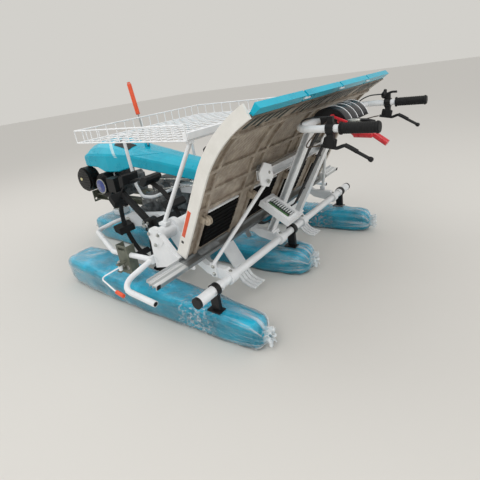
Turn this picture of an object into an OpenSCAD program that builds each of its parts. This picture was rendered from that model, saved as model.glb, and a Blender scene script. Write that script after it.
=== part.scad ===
// Four-row walk-behind rice transplanter.
// X points to the machine's right, Y forwards and Z up. The origin is on the ground,
// under the middle of the machine. All sizes are in millimetres.

/* [Rows and rails] */
// Distance between planted rows
row_pitch = 300; // [280:5:320]
// Length of the lower guide rail, which is also the machine's full width
rail_len = 1590; // [1500:10:1680]
// Lower guide rail, distance behind the origin
rail_y = -415; // [-430:1:-405]
// Lower guide rail, height of its top face
rail_z = 322; // [312:1:330]
// Lower guide rail, width of its plate
rail_w = 54; // [46:1:60]
// Lower guide rail, wall thickness
rail_t = 5; // [4:0.5:7]
// Lower guide rail, slope of its plate towards the rear
rail_tilt = 14; // [10:1:18]

/* [Seedling platform] */
// Width between the outer faces of the side rails
platform_w = 1220; // [1210:2:1240]
// Wall thickness of a side rail
side_rail_t = 9; // [7:0.5:12]
// Height of a side rail above the platform's line
side_rail_up = 20; // [16:1:24]
// Depth of a side rail below the platform's line
side_rail_down = 28; // [25:1:32]
// Lower front corner of the platform, behind the origin
platform_y = -386; // [-390:1:-383]
// Lower front corner of the platform, height
platform_z = 348; // [345:1:352]
// Length of the straight lower part
straight_len = 359; // [350:1:370]
// Length of the arched upper part
arch_len = 322; // [300:2:330]
// Radius of the arched upper part
arch_r = 520; // [500:5:560]
// Slope of the straight lower part
platform_slope = 61; // [59:0.5:63]
// Thickness of the moulded panel
panel_t = 8; // [6:0.5:10]
// Depth of the panel's underside below the platform's line
panel_depth = 24; // [20:1:28]
// Height of the ribs on the underside of the panel
rib_h = 9; // [5:0.5:12]
// Width of a rib on the underside of the panel
rib_w = 16; // [10:1:22]
// Height of the dividers between rows, above the panel
divider_h = 14; // [8:1:15]
// Width of a divider
divider_w = 22; // [14:1:30]
// Width of a feed belt's window
window_w = 190; // [180:2:210]
// Length of a feed belt's window
window_l = 196; // [180:2:204]
// Distance from the platform's lower end to the windows
window_s = 16; // [12:1:24]
// Radius of a feed belt's rollers
belt_r = 11; // [9:0.5:12]
// Number of vent slots in each row
slots_per_row = 6; // [4:1:7]
// Length of a vent slot
slot_l = 58; // [40:1:66]
// Width of a vent slot
slot_w = 8; // [6:0.5:12]
// Width of one extension plate on the top edge
extension_w = 288; // [276:1:294]
// Height of an extension plate's ridge above the platform's line
extension_h = 6; // [2:1:12]
// How far that ridge lies behind the panel's top edge
extension_back = 29; // [20:1:36]
// How far the platform slides to each side
platform_travel = 140; // [120:5:150]

/* [Floats] */
// Front end of the centre float
centre_nose_y = 1070; // [1060:1:1080]
// Rear end of the centre float
centre_tail_y = -633; // [-660:1:-600]
// Half width of the centre float
centre_hw = 158; // [140:1:165]
// Front end of the side floats
side_nose_y = 601; // [580:1:620]
// Rear end of the side floats
side_tail_y = -730; // [-750:1:-715]
// Half width of a side float
side_hw = 97; // [88:1:100]
// Distance from the middle to a side float's axis at its nose
side_nose_x = 537; // [530:1:545]
// Distance from the middle to a side float's axis at its tail
side_tail_x = 578; // [570:1:585]
// Height of the floats
float_h = 124; // [118:1:130]
// Radius of the floats' upper edges
float_edge_r = 32; // [20:1:36]

/* [Wheels] */
// Distance from the middle to a wheel's centre plane
wheel_x = 335; // [333:1:340]
// Wheel hub, distance in front of the origin
hub_y = 136; // [130:1:142]
// Wheel hub, height
hub_z = 300; // [296:1:306]
// Radius to the tips of the lugs
lug_tip_r = 294; // [288:1:295]
// Radius to the outside of the rim
rim_r = 252; // [244:1:256]
// Width of the rim
rim_w = 24; // [18:1:30]
// Thickness of the rim
rim_t = 9; // [7:0.5:12]
// Number of lugs on a wheel
lug_count = 9; // [7:1:11]
// Width of a lug
lug_w = 100; // [84:1:102]
// Number of spokes on a wheel
spoke_count = 3; // [3:1:5]
// Turn of the spokes from the lowest point
spoke_turn = 10; // [0:1:30]
// Turn of the lugs from the lowest point
lug_start = -5; // [-20:1:20]
// Radius of a wheel's hub
hub_r = 34; // [28:1:40]
// Radius of the wheel axle
axle_r = 12; // [10:0.5:14]
// Swing case pivot, distance in front of the origin
pivot_y = 420; // [414:1:426]
// Swing case pivot, height
pivot_z = 258; // [252:1:264]
// Distance from the middle to a swing case's centre plane
case_x = 257; // [255:1:258]
// Thickness of a swing case
case_t = 44; // [36:1:46]
// Radius of a swing case's ends
case_r = 38; // [32:1:42]

/* [Engine and bonnet] */
// Front end of the bonnet
bonnet_front_y = 985; // [970:1:1000]
// Rear end of the bonnet
bonnet_rear_y = -45; // [-60:1:-30]
// Half width of the bonnet at its widest
bonnet_hw = 151; // [140:1:160]
// Height of the bonnet's lower edge beside the engine
bonnet_z = 512; // [508:1:516]
// Height of the bonnet's highest point
bonnet_top = 702; // [690:1:716]
// Middle of the engine, in front of the origin
engine_y = 770; // [760:1:780]
// Height of the crankshaft
crank_z = 420; // [416:1:426]
// Half width of the crankcase
crankcase_hw = 104; // [96:1:110]
// Length of the crankcase
crankcase_l = 196; // [180:2:210]
// Number of cooling fins on the cylinder
fin_count = 9; // [7:1:11]
// Radius of the recoil starter's housing
recoil_r = 80; // [74:1:81]
// Radius of the silencer
silencer_r = 84; // [76:1:88]
// Middle of the silencer, in front of the origin
silencer_y = 960; // [956:1:975]
// Height of the silencer's middle
silencer_z = 456; // [450:1:458]
// Half distance between the engine bearers
bearer_x = 82; // [76:1:88]
// Height of the engine bearers' top
bearer_z = 326; // [322:1:330]
// Height of an engine bearer
bearer_h = 40; // [32:1:46]
// Wall thickness of an engine bearer
bearer_t = 4; // [3:0.5:6]
// Radius of the tie-down holes in the front plate
tie_hole_r = 9; // [7:0.5:11]
// Thickness of the front plate
front_plate_t = 8; // [6:0.5:12]

/* [Planting part] */
// Radius of the thick cross tube
cross_r = 31; // [28:1:34]
// Thick cross tube, distance behind the origin
cross_y = -250; // [-256:1:-246]
// Thick cross tube, height
cross_z = 400; // [396:1:406]
// Half length of the thick cross tube
cross_hl = 596; // [590:1:602]
// Distance from the middle to an outer planting case
outer_case_x = 502; // [498:1:506]
// Distance from the middle to an inner planting case
inner_case_x = 112; // [106:1:116]
// Thickness of a planting case
planting_case_t = 26; // [22:1:30]
// Radius of the rear depth tube
rear_tube_r = 17; // [15:0.5:19]
// Rear depth tube, distance behind the origin
rear_tube_y = -534; // [-538:1:-530]
// Rear depth tube, height
rear_tube_z = 221; // [217:1:225]
// Half length of the rear depth tube
rear_tube_hl = 700; // [680:1:720]
// Length of the slotted sleeve at each end of the rear tube
sleeve_l = 130; // [110:2:140]
// Wall of that sleeve
sleeve_t = 4.5; // [3:0.5:6]
// Number of fingers on a rake
rake_fingers = 4; // [3:1:5]
// Width of a rake's plate
rake_w = 82; // [70:1:90]
// Width of the slots between a rake's fingers
rake_gap = 6; // [4:0.5:8]
// Distance from the middle to a rake
rake_x = 300; // [296:1:306]

/* [Handles] */
// Distance from the middle to a handle grip
grip_x = 313; // [306:1:320]
// Height of the grips
grip_z = 768; // [762:1:774]
// Rear end of the grips
grip_end_y = -1070; // [-1076:1:-1062]
// Length of a grip
grip_l = 122; // [110:1:130]
// Radius of a grip
grip_r = 17; // [15:0.5:19]
// Radius of the handle tube
handle_r = 13; // [12:0.5:14]
// Half width of the console
console_hw = 120; // [112:1:128]
// Radius of the console's arched top
console_r = 76; // [72:1:80]
// Handle tube's cross part, distance behind the origin
handle_y = -768; // [-772:1:-764]
// Distance from the middle to a handle post
post_x = 133; // [130:1:138]
// Width of a handle post
post_w = 40; // [34:1:44]
// Depth of a handle post
post_d = 26; // [22:1:30]
// Wall thickness of a handle post
post_t = 3.5; // [2.5:0.5:5]

/* [Seedling rack] */
// Half width of the rack
rack_hw = 463; // [456:1:470]
// Front edge of the rack
rack_front_y = 407; // [400:1:412]
// Rear edge of the rack
rack_rear_y = -385; // [-390:1:-380]
// Height of the rack's floor
rack_z = 765; // [758:1:772]
// Height of the rack's fence
fence_h = 61; // [50:1:70]
// Radius of the rack's edge wires
edge_wire_r = 3.5; // [3:0.25:4]
// Radius of the rack's mesh wires
mesh_wire_r = 2.4; // [2:0.2:3]
// Number of mesh wires from side to side
cross_wires = 11; // [9:1:14]
// Number of mesh wires from front to rear
long_wires = 15; // [11:1:18]
// Radius of the rack's legs
leg_r = 9; // [8:0.5:11]
// Distance from the middle to a front leg
front_leg_x = 250; // [244:1:256]

/* [Guards and markers] */
// Radius of the guard tubes
guard_r = 12.5; // [11:0.5:14]
// Outermost line of the guard tubes
guard_x = 768; // [760:1:776]
// Front line of the wheel guard
guard_front_y = 512; // [506:1:520]
// Distance from the cross tube's end to a side marker's pivot
marker_out = 56; // [50:1:62]
// Side marker's pivot, in front of the origin
marker_y = 4; // [0:1:10]
// Radius of a side marker's rod
marker_r = 3.5; // [3:0.25:5]
// Height of the centre marker pole's top
pole_top = 1029; // [1010:1:1050]
// Radius of the centre marker pole
pole_r = 4.5; // [4:0.25:6]
// Length of the marker pole's orange top
pole_grip_l = 190; // [170:2:210]

/* [Hidden] */
$fn = 48;
rows = 4;
// Clearance between pieces that are bolted or laid together
fit = 0.2;
// Clearance under the platform's shoes
run = 0.4;
// Clearance of a shaft in its bore
shaft_run = 0.1;
colour_teal = "#1C97AE";
colour_white = "#E9ECEE";
colour_beige = "#B9AD9A";
colour_black = "#1B1C1E";
colour_grey = "#8E9294";
colour_alloy = "#B8BBBD";
colour_olive = "#6E7166";
colour_orange = "#F0572A";
colour_red = "#CF2A2E";

function unit(v) = v / norm(v);
function row_x(i) = (i - (rows - 1) / 2) * row_pitch;
function mirrored(p) = [-p[0], p[1], p[2]];

// Points of a path whose corners are rounded with radius r in n steps
function corner(a, p, b, r, n) =
    let (d1 = unit(p - a), d2 = unit(b - p), turn = acos(d1 * d2), start = p - d1 * r * tan(turn / 2),
         side = unit(d2 - d1 * (d1 * d2)), middle = start + side * r)
    [for (i = [0:n]) middle - side * r * cos(turn * i / n) + d1 * r * sin(turn * i / n)];
function rounded(p, r, n) =
    concat([p[0]], [for (i = [1:len(p) - 2]) each corner(p[i - 1], p[i], p[i + 1], r, n)],
           [p[len(p) - 1]]);

// One section of a loft: bottom and top heights, half widths and corner radii, n steps a corner
function section(cx, zb, zt, wb, wt, rb, rt, n) = concat(
    [for (j = [0:n]) let (t = 90 * j / n) [cx + wt - rt + rt * sin(t), zt - rt + rt * cos(t)]],
    [for (j = [0:n]) let (t = 90 + 90 * j / n) [cx + wb - rb + rb * sin(t), zb + rb + rb * cos(t)]],
    [for (j = [0:n]) let (t = 180 + 90 * j / n) [cx - wb + rb + rb * sin(t), zb + rb + rb * cos(t)]],
    [for (j = [0:n]) let (t = 270 + 90 * j / n) [cx - wt + rt + rt * sin(t), zt - rt + rt * cos(t)]]);

// Closed skin over rings of equal length, each ring a list of points
module skin(rings) {
    m = len(rings[0]);
    n = len(rings);
    polyhedron([for (ring = rings) each ring],
               concat([[for (k = [0:m - 1]) k]],
                      [for (i = [0:n - 2], k = [0:m - 1])
                          [i * m + k, (i + 1) * m + k, (i + 1) * m + (k + 1) % m, i * m + (k + 1) % m]],
                      [[for (k = [m - 1:-1:0]) (n - 1) * m + k]]), convexity = 6);
}

// Round bar swept along a path; ref is a direction that no stretch of the path follows
module sweep(p, r, ref, sides = 12) {
    last = len(p) - 1;
    skin([for (i = [0:last])
        let (t = unit(p[min(i + 1, last)] - p[max(i - 1, 0)]), u = unit(cross(t, ref)), v = cross(t, u))
        [for (k = [0:sides - 1]) p[i] + r * (u * cos(360 * k / sides) + v * sin(360 * k / sides))]]);
}

// Straight round bar between two points
module rod(a, b, r, seam = 0) {
    d = b - a;
    translate(a) rotate([0, acos(d[2] / norm(d)), atan2(d[1], d[0])])
        rotate([0, 0, seam]) cylinder(h = norm(d), r = r);
}

// Outline of a strip of thickness t that follows a path in Y and Z
function band(p, t) =
    let (last = len(p) - 1,
         way = [for (i = [0:last]) unit(p[min(i + 1, last)] - p[max(i - 1, 0)])])
    concat([for (i = [0:last]) p[i] + t / 2 * [-way[i][1], way[i][0]]],
           [for (i = [last:-1:0]) p[i] - t / 2 * [-way[i][1], way[i][0]]]);

// Profile drawn in Y and Z, carried sideways for a length
module across(len, x = 0) {
    translate([x, 0, 0]) rotate([90, 0, 90]) linear_extrude(len, center = true) children();
}

// The same piece on both sides of the machine
module both() {
    children();
    mirror([1, 0, 0]) children();
}

// Cylinder along X between two distances from the middle
module axle(x0, x1, y, z, r) {
    translate([x0, y, z]) rotate([0, 90, 0]) cylinder(h = x1 - x0, r = r);
}

module block(x0, x1, y0, y1, z0, z1) {
    translate([x0, y0, z0]) cube([x1 - x0, y1 - y0, z1 - z0]);
}

// Flat outline with round ends between two points in Y and Z
module link_outline(a, b, ra, rb) {
    hull() {
        translate(a) circle(ra, $fn = 32);
        translate(b) circle(rb, $fn = 32);
    }
}

// The platform's front edge line: slope and place at the distance s from its lower end
platform_len = straight_len + arch_len;
function slope(s) = s <= straight_len ? platform_slope
                                      : platform_slope - (s - straight_len) / arch_r * 180 / PI;
bend_y = platform_y - straight_len * cos(platform_slope);
bend_z = platform_z + straight_len * sin(platform_slope);
arch_y = bend_y - arch_r * sin(platform_slope);
arch_z = bend_z - arch_r * cos(platform_slope);
function straight_point(s, n) = [platform_y - s * cos(platform_slope) + n * sin(platform_slope),
                                 platform_z + s * sin(platform_slope) + n * cos(platform_slope)];
function platform_point(s, n) =
    s <= straight_len ? straight_point(s, n)
                      : [arch_y + (arch_r + n) * sin(slope(s)), arch_z + (arch_r + n) * cos(slope(s))];

// Strip along the platform between depths n0 and n1 and distances s0 and s1
module strip(n0, n1, s0, s1) {
    if (s0 < straight_len) {
        e = s1 > straight_len ? straight_len + fit : s1;
        polygon([straight_point(s0, n0), straight_point(e, n0), straight_point(e, n1),
                 straight_point(s0, n1)]);
    }
    if (s1 > straight_len) {
        b = max(s0, straight_len);
        far = 1.2 * (arch_r + 60);
        intersection() {
            translate([arch_y, arch_z]) difference() {
                circle(arch_r + n1, $fn = 180);
                circle(arch_r + n0, $fn = 180);
            }
            polygon([[arch_y, arch_z],
                     for (k = [0:2]) let (a = slope(b + (s1 - b) * k / 2))
                         [arch_y + far * sin(a), arch_z + far * cos(a)]]);
        }
    }
}

// Local frame on the platform: Y downhill, Z square to the front side
module on_platform(s) {
    p = platform_point(s, 0);
    translate([0, p[0], p[1]]) rotate([-slope(s), 0, 0]) children();
}

panel_n0 = -panel_depth;
panel_n1 = -panel_depth + panel_t;
panel_w = platform_w - 2 * side_rail_t - 2 * fit;

module platform_panel() {
    color(colour_beige) difference() {
        union() {
            across(panel_w) strip(panel_n0, panel_n1, 0, platform_len);
            for (i = [1:rows - 1])
                across(divider_w, row_x(i) - row_pitch / 2)
                    strip(panel_n1, panel_n1 + divider_h, 0, platform_len - 102);
            // ribs beside each window and across the underside
            for (i = [0:rows - 1], side = [-1, 1])
                across(rib_w, row_x(i) + side * (window_w / 2 + rib_w))
                    strip(panel_n0 - rib_h, panel_n0, 0, platform_len - 96);
            for (s = [window_s + window_l + 14, 306, 400, platform_len - 110])
                across(panel_w) strip(panel_n0 - rib_h, panel_n0, s, s + rib_w);
        }
        for (i = [0:rows - 1]) {
            on_platform(window_s + window_l / 2)
                translate([row_x(i), 0, panel_n0])
                    cube([window_w, window_l, 6 * panel_t], center = true);
            for (k = [0:slots_per_row - 1])
                on_platform(platform_len - 52)
                    translate([row_x(i) + (k - (slots_per_row - 1) / 2) * 42, 0, panel_n0])
                        rotate([0, 0, 14]) cube([slot_w, slot_l, 5 * panel_t], center = true);
        }
    }
}

// How far the side rails reach below the panel's lower end
side_rail_drop = 6;
module side_rails() {
    color(colour_white)
        for (side = [-1, 1])
            across(side_rail_t, side * (platform_w - side_rail_t) / 2)
                strip(-side_rail_down, side_rail_up, -side_rail_drop, platform_len);
}

// Belt on two rollers whose shafts reach the sides of the window
module feed_belts() {
    reach = window_l / 2 - belt_r - 6;
    color(colour_black)
        for (i = [0:rows - 1])
            on_platform(window_s + window_l / 2) translate([row_x(i), 0, panel_n0 - 2]) {
                cube([window_w - 14, 2 * reach, 2 * belt_r], center = true);
                for (end = [-1, 1]) {
                    translate([0, end * reach, 0]) rotate([0, 90, 0]) {
                        cylinder(h = window_w - 14, r = belt_r, center = true);
                        cylinder(h = window_w - 2 * fit, r = 5, center = true);
                    }
                }
                for (k = [-3:3])
                    translate([0, k * reach / 3.5, 0]) cube([window_w - 14, 5, 2 * belt_r + 5], center = true);
            }
}

// Each plate is a ridge behind the panel's top edge with a lip that lies on its arch
module extension_plates() {
    base = panel_n1 + fit;
    lip = base + 7;
    color(colour_teal)
        for (i = [0:rows - 1])
            translate([row_x(i), 0, 0]) on_platform(platform_len)
                rotate([90, 0, 90]) linear_extrude(extension_w, center = true) {
                    polygon([[-fit, panel_n0 + 2], [-fit, lip], [-extension_back, extension_h],
                             [-extension_back - 8, panel_n0 + 7]]);
                    difference() {
                        polygon([[-fit, base - 2], [-fit, lip], [14, lip - 2], [14, base - 2]]);
                        translate([0, -arch_r]) circle(arch_r + base, $fn = 180);
                    }
                }
}

// Point above the lower rail's plate, u along its slope and n square to it
function rail_point(u, n) = [rail_y + u * cos(rail_tilt) - n * sin(rail_tilt),
                             rail_z + u * sin(rail_tilt) + n * cos(rail_tilt)];

// Cross bar behind the platform
bar_y = -590;
bar_z = 587;
bar_hd = 15;
bar_hh = 20;
shoe_w = 120;
shoe_x = 486;
runner_w = 60;
runner_x = 261;
rib_n = panel_n0 - rib_h - fit;
// Shoes that run on the lower rail and runners that rest on the cross bar
module rail_shoes() {
    bar_top = bar_z + bar_hh + run;
    color(colour_grey) both() {
        across(shoe_w, shoe_x)
            polygon([platform_point(-fit, panel_n1), platform_point(-fit, rib_n), rail_point(-16, run),
                     rail_point(13, run)]);
        across(runner_w, runner_x)
            polygon([platform_point(338, rib_n), platform_point(317, rib_n), [bar_y + bar_hd + 3, bar_top],
                     [bar_y - 8, bar_top], [bar_y - 8, bar_top + 9]]);
    }
}

module lower_rail() {
    color(colour_alloy) across(rail_len) translate([rail_y, rail_z]) rotate(rail_tilt) {
        translate([-rail_w / 2, -rail_t]) square([rail_w, rail_t]);
        translate([rail_w / 2 - rail_t, -rail_t]) square([rail_t, 12]);
        translate([-rail_w / 2, -16]) square([rail_t, 16]);
        translate([-8, -14]) square([rail_t, 12]);
        translate([8, -14]) square([rail_t, 12]);
    }
}

// Cross bar with its hexagonal end plates and two leaning struts on the outer arms
bar_hl = 300;
bar_t = 4;
plate_r = 53;
strut_foot = [outer_case_x + planting_case_t / 2 + fit, -462, 270];
strut_top = [279, bar_y - bar_hd - 3, 560];
module upper_rail() {
    color(colour_white) {
        difference() {
            block(-bar_hl, bar_hl, bar_y - bar_hd, bar_y + bar_hd, bar_z - bar_hh, bar_z + bar_hh);
            block(-bar_hl - 1, bar_hl + 1, bar_y - bar_hd - 1, bar_y + bar_hd - bar_t,
                  bar_z - bar_hh + bar_t, bar_z + bar_hh - bar_t);
        }
        both() {
            translate([strut_top[0], bar_y - bar_hd + 1, bar_z]) rotate([90, 0, 0]) rotate([0, 0, 22])
                cylinder(h = 6, r = plate_r, $fn = 6);
            rod(strut_foot + [6, 0, 0], strut_top, 8);
            block(strut_foot[0], strut_foot[0] + 7, -476, -446, 214, 278);
        }
    }
}

// Hull sections of a float: share of length from the tail, share of the half width,
// lift of the bottom, and height of the top as a share of the float's height
nose_top = 1.2;
float_table = [[0, 0.16, 34, 0.66], [0.008, 0.36, 16, 0.84], [0.022, 0.48, 6, 0.96], [0.06, 0.57, 1, 1],
               [0.14, 0.65, 0, 1], [0.3, 0.74, 0, 1], [0.5, 0.92, 0, 1.02], [0.7, 1, 0, 1.06],
               [0.85, 1, 1, nose_top], [0.94, 0.98, 8, nose_top], [0.975, 0.92, 22, 1.19],
               [0.992, 0.78, 42, 1.13], [1, 0.56, 60, 1.02]];
module float_body(nose_y, tail_y, nose_x, tail_x, hw) {
    color(colour_teal) skin([for (f = float_table)
        let (y = tail_y + f[0] * (nose_y - tail_y), cx = tail_x + f[0] * (nose_x - tail_x),
             w = f[1] * hw, zt = f[3] * float_h, r = min(float_edge_r, w * 0.6, (zt - f[2]) * 0.42))
        [for (p = section(cx, f[2], zt, w - 6, w, r * 0.6, r, 3)) [p[0], y, p[1]]]]);
}
module float_centre() float_body(centre_nose_y, centre_tail_y, 0, 0, centre_hw);
module float_left() float_body(side_nose_y, side_tail_y, -side_nose_x, -side_tail_x, side_hw);
module float_right() float_body(side_nose_y, side_tail_y, side_nose_x, side_tail_x, side_hw);

// Wheel with channel spokes and paddle lugs, standing at its hub
lug_turn = 360 / lug_count;
module wheel() {
    color(colour_black) rotate([0, 90, 0]) {
        rotate_extrude($fn = 96)
            translate([rim_r - rim_t, -rim_w / 2]) square([rim_t, rim_w]);
        difference() {
            cylinder(h = 64, r = hub_r, center = true);
            cylinder(h = 70, r = axle_r + shaft_run, center = true);
        }
        for (k = [0:spoke_count - 1])
            rotate([0, 0, k * 360 / spoke_count + spoke_turn]) {
                translate([hub_r - 3, -18, -10]) cube([rim_r - rim_t - hub_r + 6, 4, 20]);
                translate([hub_r - 3, 14, -10]) cube([rim_r - rim_t - hub_r + 6, 4, 20]);
                translate([hub_r - 3, -16, -10]) cube([rim_r - rim_t - hub_r + 6, 32, 4]);
            }
        for (k = [0:lug_count - 1])
            rotate([0, 0, k * lug_turn + lug_start])
                linear_extrude(lug_w, center = true)
                    polygon([[rim_r - 14, -22], [rim_r - 14, 16], [lug_tip_r - 14, 42],
                             [lug_tip_r - 3, 34], [lug_tip_r - 7, 4]]);
    }
}
module wheel_left() translate([-wheel_x, hub_y, hub_z]) wheel();
module wheel_right() translate([wheel_x, hub_y, hub_z]) mirror([1, 0, 0]) wheel();

// Drive case that swings about its front pivot and carries the wheel axle
module swing_case() {
    color(colour_white) difference() {
        union() {
            across(case_t, case_x)
                link_outline([pivot_y, pivot_z], [hub_y, hub_z], case_r, case_r - 6);
            axle(case_x, wheel_x + 44, hub_y, hub_z, axle_r);
            axle(case_x - case_t / 2 - 4, case_x + case_t / 2, pivot_y, pivot_z, case_r - 8);
        }
        axle(case_x - case_t, case_x + case_t / 2 - 6, pivot_y, pivot_z, 20 + shaft_run);
    }
}
module swing_case_right() swing_case();
module swing_case_left() mirror([1, 0, 0]) swing_case();

gearbox_front = 500;
gearbox_rear = 190;
module transmission_case() {
    color(colour_alloy) {
        difference() {
            union() {
                block(-96, 96, gearbox_rear, gearbox_front, 214, 350);
                block(-70, 70, gearbox_rear, 400, 350, 452);
                axle(-150, 150, pivot_y, pivot_z, 52);
                axle(-112, 112, 270, 402, 44);
            }
            axle(-120, -88, 270, 402, 30);
            axle(88, 120, 270, 402, 30);
        }
        axle(-case_x + case_t / 2 + 5, case_x - case_t / 2 - 5, pivot_y, pivot_z, 34);
        both() axle(case_x - case_t / 2 - 8, case_x + case_t / 2 - 10, pivot_y, pivot_z, 20);
    }
}

// Spine between the gearbox and the cross tube, with the bonnet's stay
spine_h = 56;
stay_top = 473.8;
module main_frame() {
    color(colour_white) {
        difference() {
            block(-30, 30, cross_y + cross_r + fit, gearbox_rear - fit, cross_z - spine_h / 2,
                  cross_z + spine_h / 2);
            block(-26, 26, cross_y, gearbox_rear + 1, cross_z - spine_h / 2 + 4,
                  cross_z + spine_h / 2 - 4);
        }
        block(-40, 40, cross_y + cross_r + fit, cross_y + cross_r + 10, cross_z - 44, cross_z + 44);
        block(-22, 22, 0, 20, cross_z + spine_h / 2, stay_top);
    }
}

module front_bearer() {
    z0 = bearer_z - bearer_h;
    color(colour_olive) {
        both() difference() {
            block(bearer_x - 18, bearer_x + 18, gearbox_front + fit, 1010, z0, bearer_z);
            block(bearer_x - 18 + bearer_t, bearer_x + 19, gearbox_front - 1, 1011, z0 + bearer_t,
                  bearer_z - bearer_t);
        }
        difference() {
            block(-bearer_x - 40, bearer_x + 40, 1010, 1010 + front_plate_t, z0 - 14, bearer_z + 26);
            both() translate([bearer_x + 26, 1000, z0 + 6]) rotate([-90, 0, 0])
                cylinder(h = 30, r = tie_hole_r);
        }
        // leaning channel down to the centre float
        across(64) polygon([[1004, z0 + 2], [1010, z0 + 2], [930, 196], [900, 196], [900, 210]]);
    }
    color(colour_white) block(-44, 44, 872, 938, float_h * nose_top + fit, 196);
}

module engine_block() {
    top = bonnet_z - fit;
    color(colour_alloy) {
        block(-crankcase_hw, crankcase_hw, engine_y - crankcase_l / 2, engine_y + crankcase_l / 2,
              bearer_z + fit, crank_z + 24);
        axle(crankcase_hw, crankcase_hw + 46, engine_y, crank_z, 30);
        translate([0, engine_y + 20, 0]) {
            translate([0, 0, crank_z + 24]) cylinder(h = top - crank_z - 24, r = 46);
            for (k = [0:fin_count - 1])
                translate([-66, -70, crank_z + 28 + k * (top - crank_z - 40) / fin_count])
                    cube([132, 140, 3]);
        }
    }
}

module recoil_starter() {
    x0 = -crankcase_hw - fit;
    color(colour_black) {
        axle(x0 - 52, x0, engine_y + 13, crank_z, recoil_r);
        axle(x0 - 74, x0 - 52, engine_y + 13, crank_z, recoil_r - 26);
    }
}

module silencer() {
    color(colour_black) {
        axle(-174, -118, silencer_y, silencer_z, silencer_r);
        axle(-188, -104, silencer_y, silencer_z, silencer_r - 12);
        block(-112, -60, engine_y + crankcase_l / 2 + fit, silencer_y + 20, 410, 450);
    }
}

module air_cleaner() {
    color(colour_black) {
        block(-210, -crankcase_hw - 20, engine_y - 190, engine_y - 112, 400, 488);
        block(-crankcase_hw - 21, -60, engine_y - 170, engine_y - 120, 420, 470);
        block(-crankcase_hw + 4, -60, engine_y - 121, engine_y - crankcase_l / 2 - fit, 420, 440);
        // fuse box below it
        block(-200, -172, engine_y - 228, engine_y - 157, 308, 402);
    }
}

// Pin that the centre marker pole folds about
pole_pivot = [0, 444, 656];
// Ring of the bonnet: half width, lower edge, ridge along the side, and top
function bonnet_ring(w, zl, zr, zt) =
    let (h = zt - zr, right = [[0.3 * w, zt], [0.52 * w, zt - 0.12 * h], [0.78 * w, zt - 0.46 * h],
                               [0.96 * w, zr + 0.12 * h], [w, zr - 8], [w, zl + 6], [w - 5, zl]])
    concat(right, [for (i = [len(right) - 1:-1:0]) [-right[i][0], right[i][1]]]);
module bonnet() {
    span = bonnet_front_y - bonnet_rear_y;
    // columns: share from the rear, share of the half width, then the lower edge and the ridge
    // above the lowest point beside the engine, and the drop of the top below the highest point
    table = [[0, 0.58, -44, 12, 144], [0.294, 0.68, -2, 62, 89], [0.5, 0.84, 34, 99, 56],
             [0.63, 0.95, 2, 107, 22], [0.715, 1, 0, 109, 4], [0.765, 1, 0, 110, 0],
             [0.835, 1, 28, 110, 2], [0.918, 0.99, 31, 109, 26], [0.966, 0.95, 33, 99, 60],
             [1, 0.81, 42, 80, 96]];
    color(colour_teal) {
        skin([for (b = table)
            [for (p = bonnet_ring(b[1] * bonnet_hw, bonnet_z + b[2], bonnet_z + b[3], bonnet_top - b[4]))
                [p[0], bonnet_rear_y + b[0] * span, p[1]]]]);
        // ears and pin of the folding pole
        both() block(8, 12, pole_pivot[1] - 11, pole_pivot[1] + 11, pole_pivot[2] - 30, pole_pivot[2] + 10);
        axle(-12, 12, pole_pivot[1], pole_pivot[2], 3);
    }
}

// Front face and flat top of the arms behind the planting cases
arm_face = cross_y - 92;
arm_top = 258;
// Thick cross tube with the planting cases that hang from it
module planting_tube() {
    color(colour_white) {
        axle(-cross_hl, cross_hl, cross_y, cross_z, cross_r);
        both() for (x = [outer_case_x, inner_case_x])
            across(planting_case_t, x) difference() {
                union() {
                    link_outline([cross_y, cross_z], [cross_y - 56, 300], 46, 34);
                    translate([arm_face + fit, 264]) square([40, 34]);
                }
                translate([cross_y, cross_z]) circle(cross_r - 1);
            }
    }
}

// Face of the end brackets that the guard tubes are bolted to
guard_seat = cross_y + 47;
// Castings at the ends of the cross tube that carry the lower rail
module end_brackets() {
    x0 = cross_hl + fit;
    color(colour_white) both() {
        axle(x0, x0 + 14, cross_y, cross_z, 44);
        for (k = [0:2])
            axle(x0 + 14, x0 + 22, cross_y + 32 * cos(120 * k + 30), cross_z + 32 * sin(120 * k + 30), 7);
        across(10, x0 + 5) polygon([[guard_seat, 302], [cross_y + 42, cross_z], [cross_y - 20, cross_z + 40],
            [rail_y + 60, 345], rail_point(30, -16 - fit), rail_point(-28, -16 - fit),
            [rail_y - 23, 286], [rail_y + 60, 286], [guard_seat, 246]]);
        // lip along the upper edge
        across(16, x0 + 18) polygon(band([[cross_y - 44, cross_z + 18], [rail_y + 60, 345],
                                          [rail_y + 33, 331]], 5));
    }
}

// Planting claws: crank case, arm and forked needle for each row
module planting_arms() {
    color(colour_grey)
        for (i = [0:rows - 1]) {
            side = row_x(i) < 0 ? -1 : 1;
            outer = abs(row_x(i)) > row_pitch;
            case_edge = outer ? outer_case_x - planting_case_t / 2 - fit
                              : inner_case_x + planting_case_t / 2 + fit;
            x0 = min(case_edge, abs(row_x(i)));
            x1 = max(case_edge, abs(row_x(i)));
            mirror([side < 0 ? 1 : 0, 0, 0]) {
                axle(x0, x1, cross_y - 56, 300, 14);
                across(22, abs(row_x(i))) union() {
                    link_outline([cross_y - 56, 300], [cross_y - 106, 268], 20, 14);
                    polygon([[cross_y - 96, 280], [cross_y - 116, 262], [rail_y + 34, 222],
                             [rail_y + 44, 220]]);
                }
            }
        }
}

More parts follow.
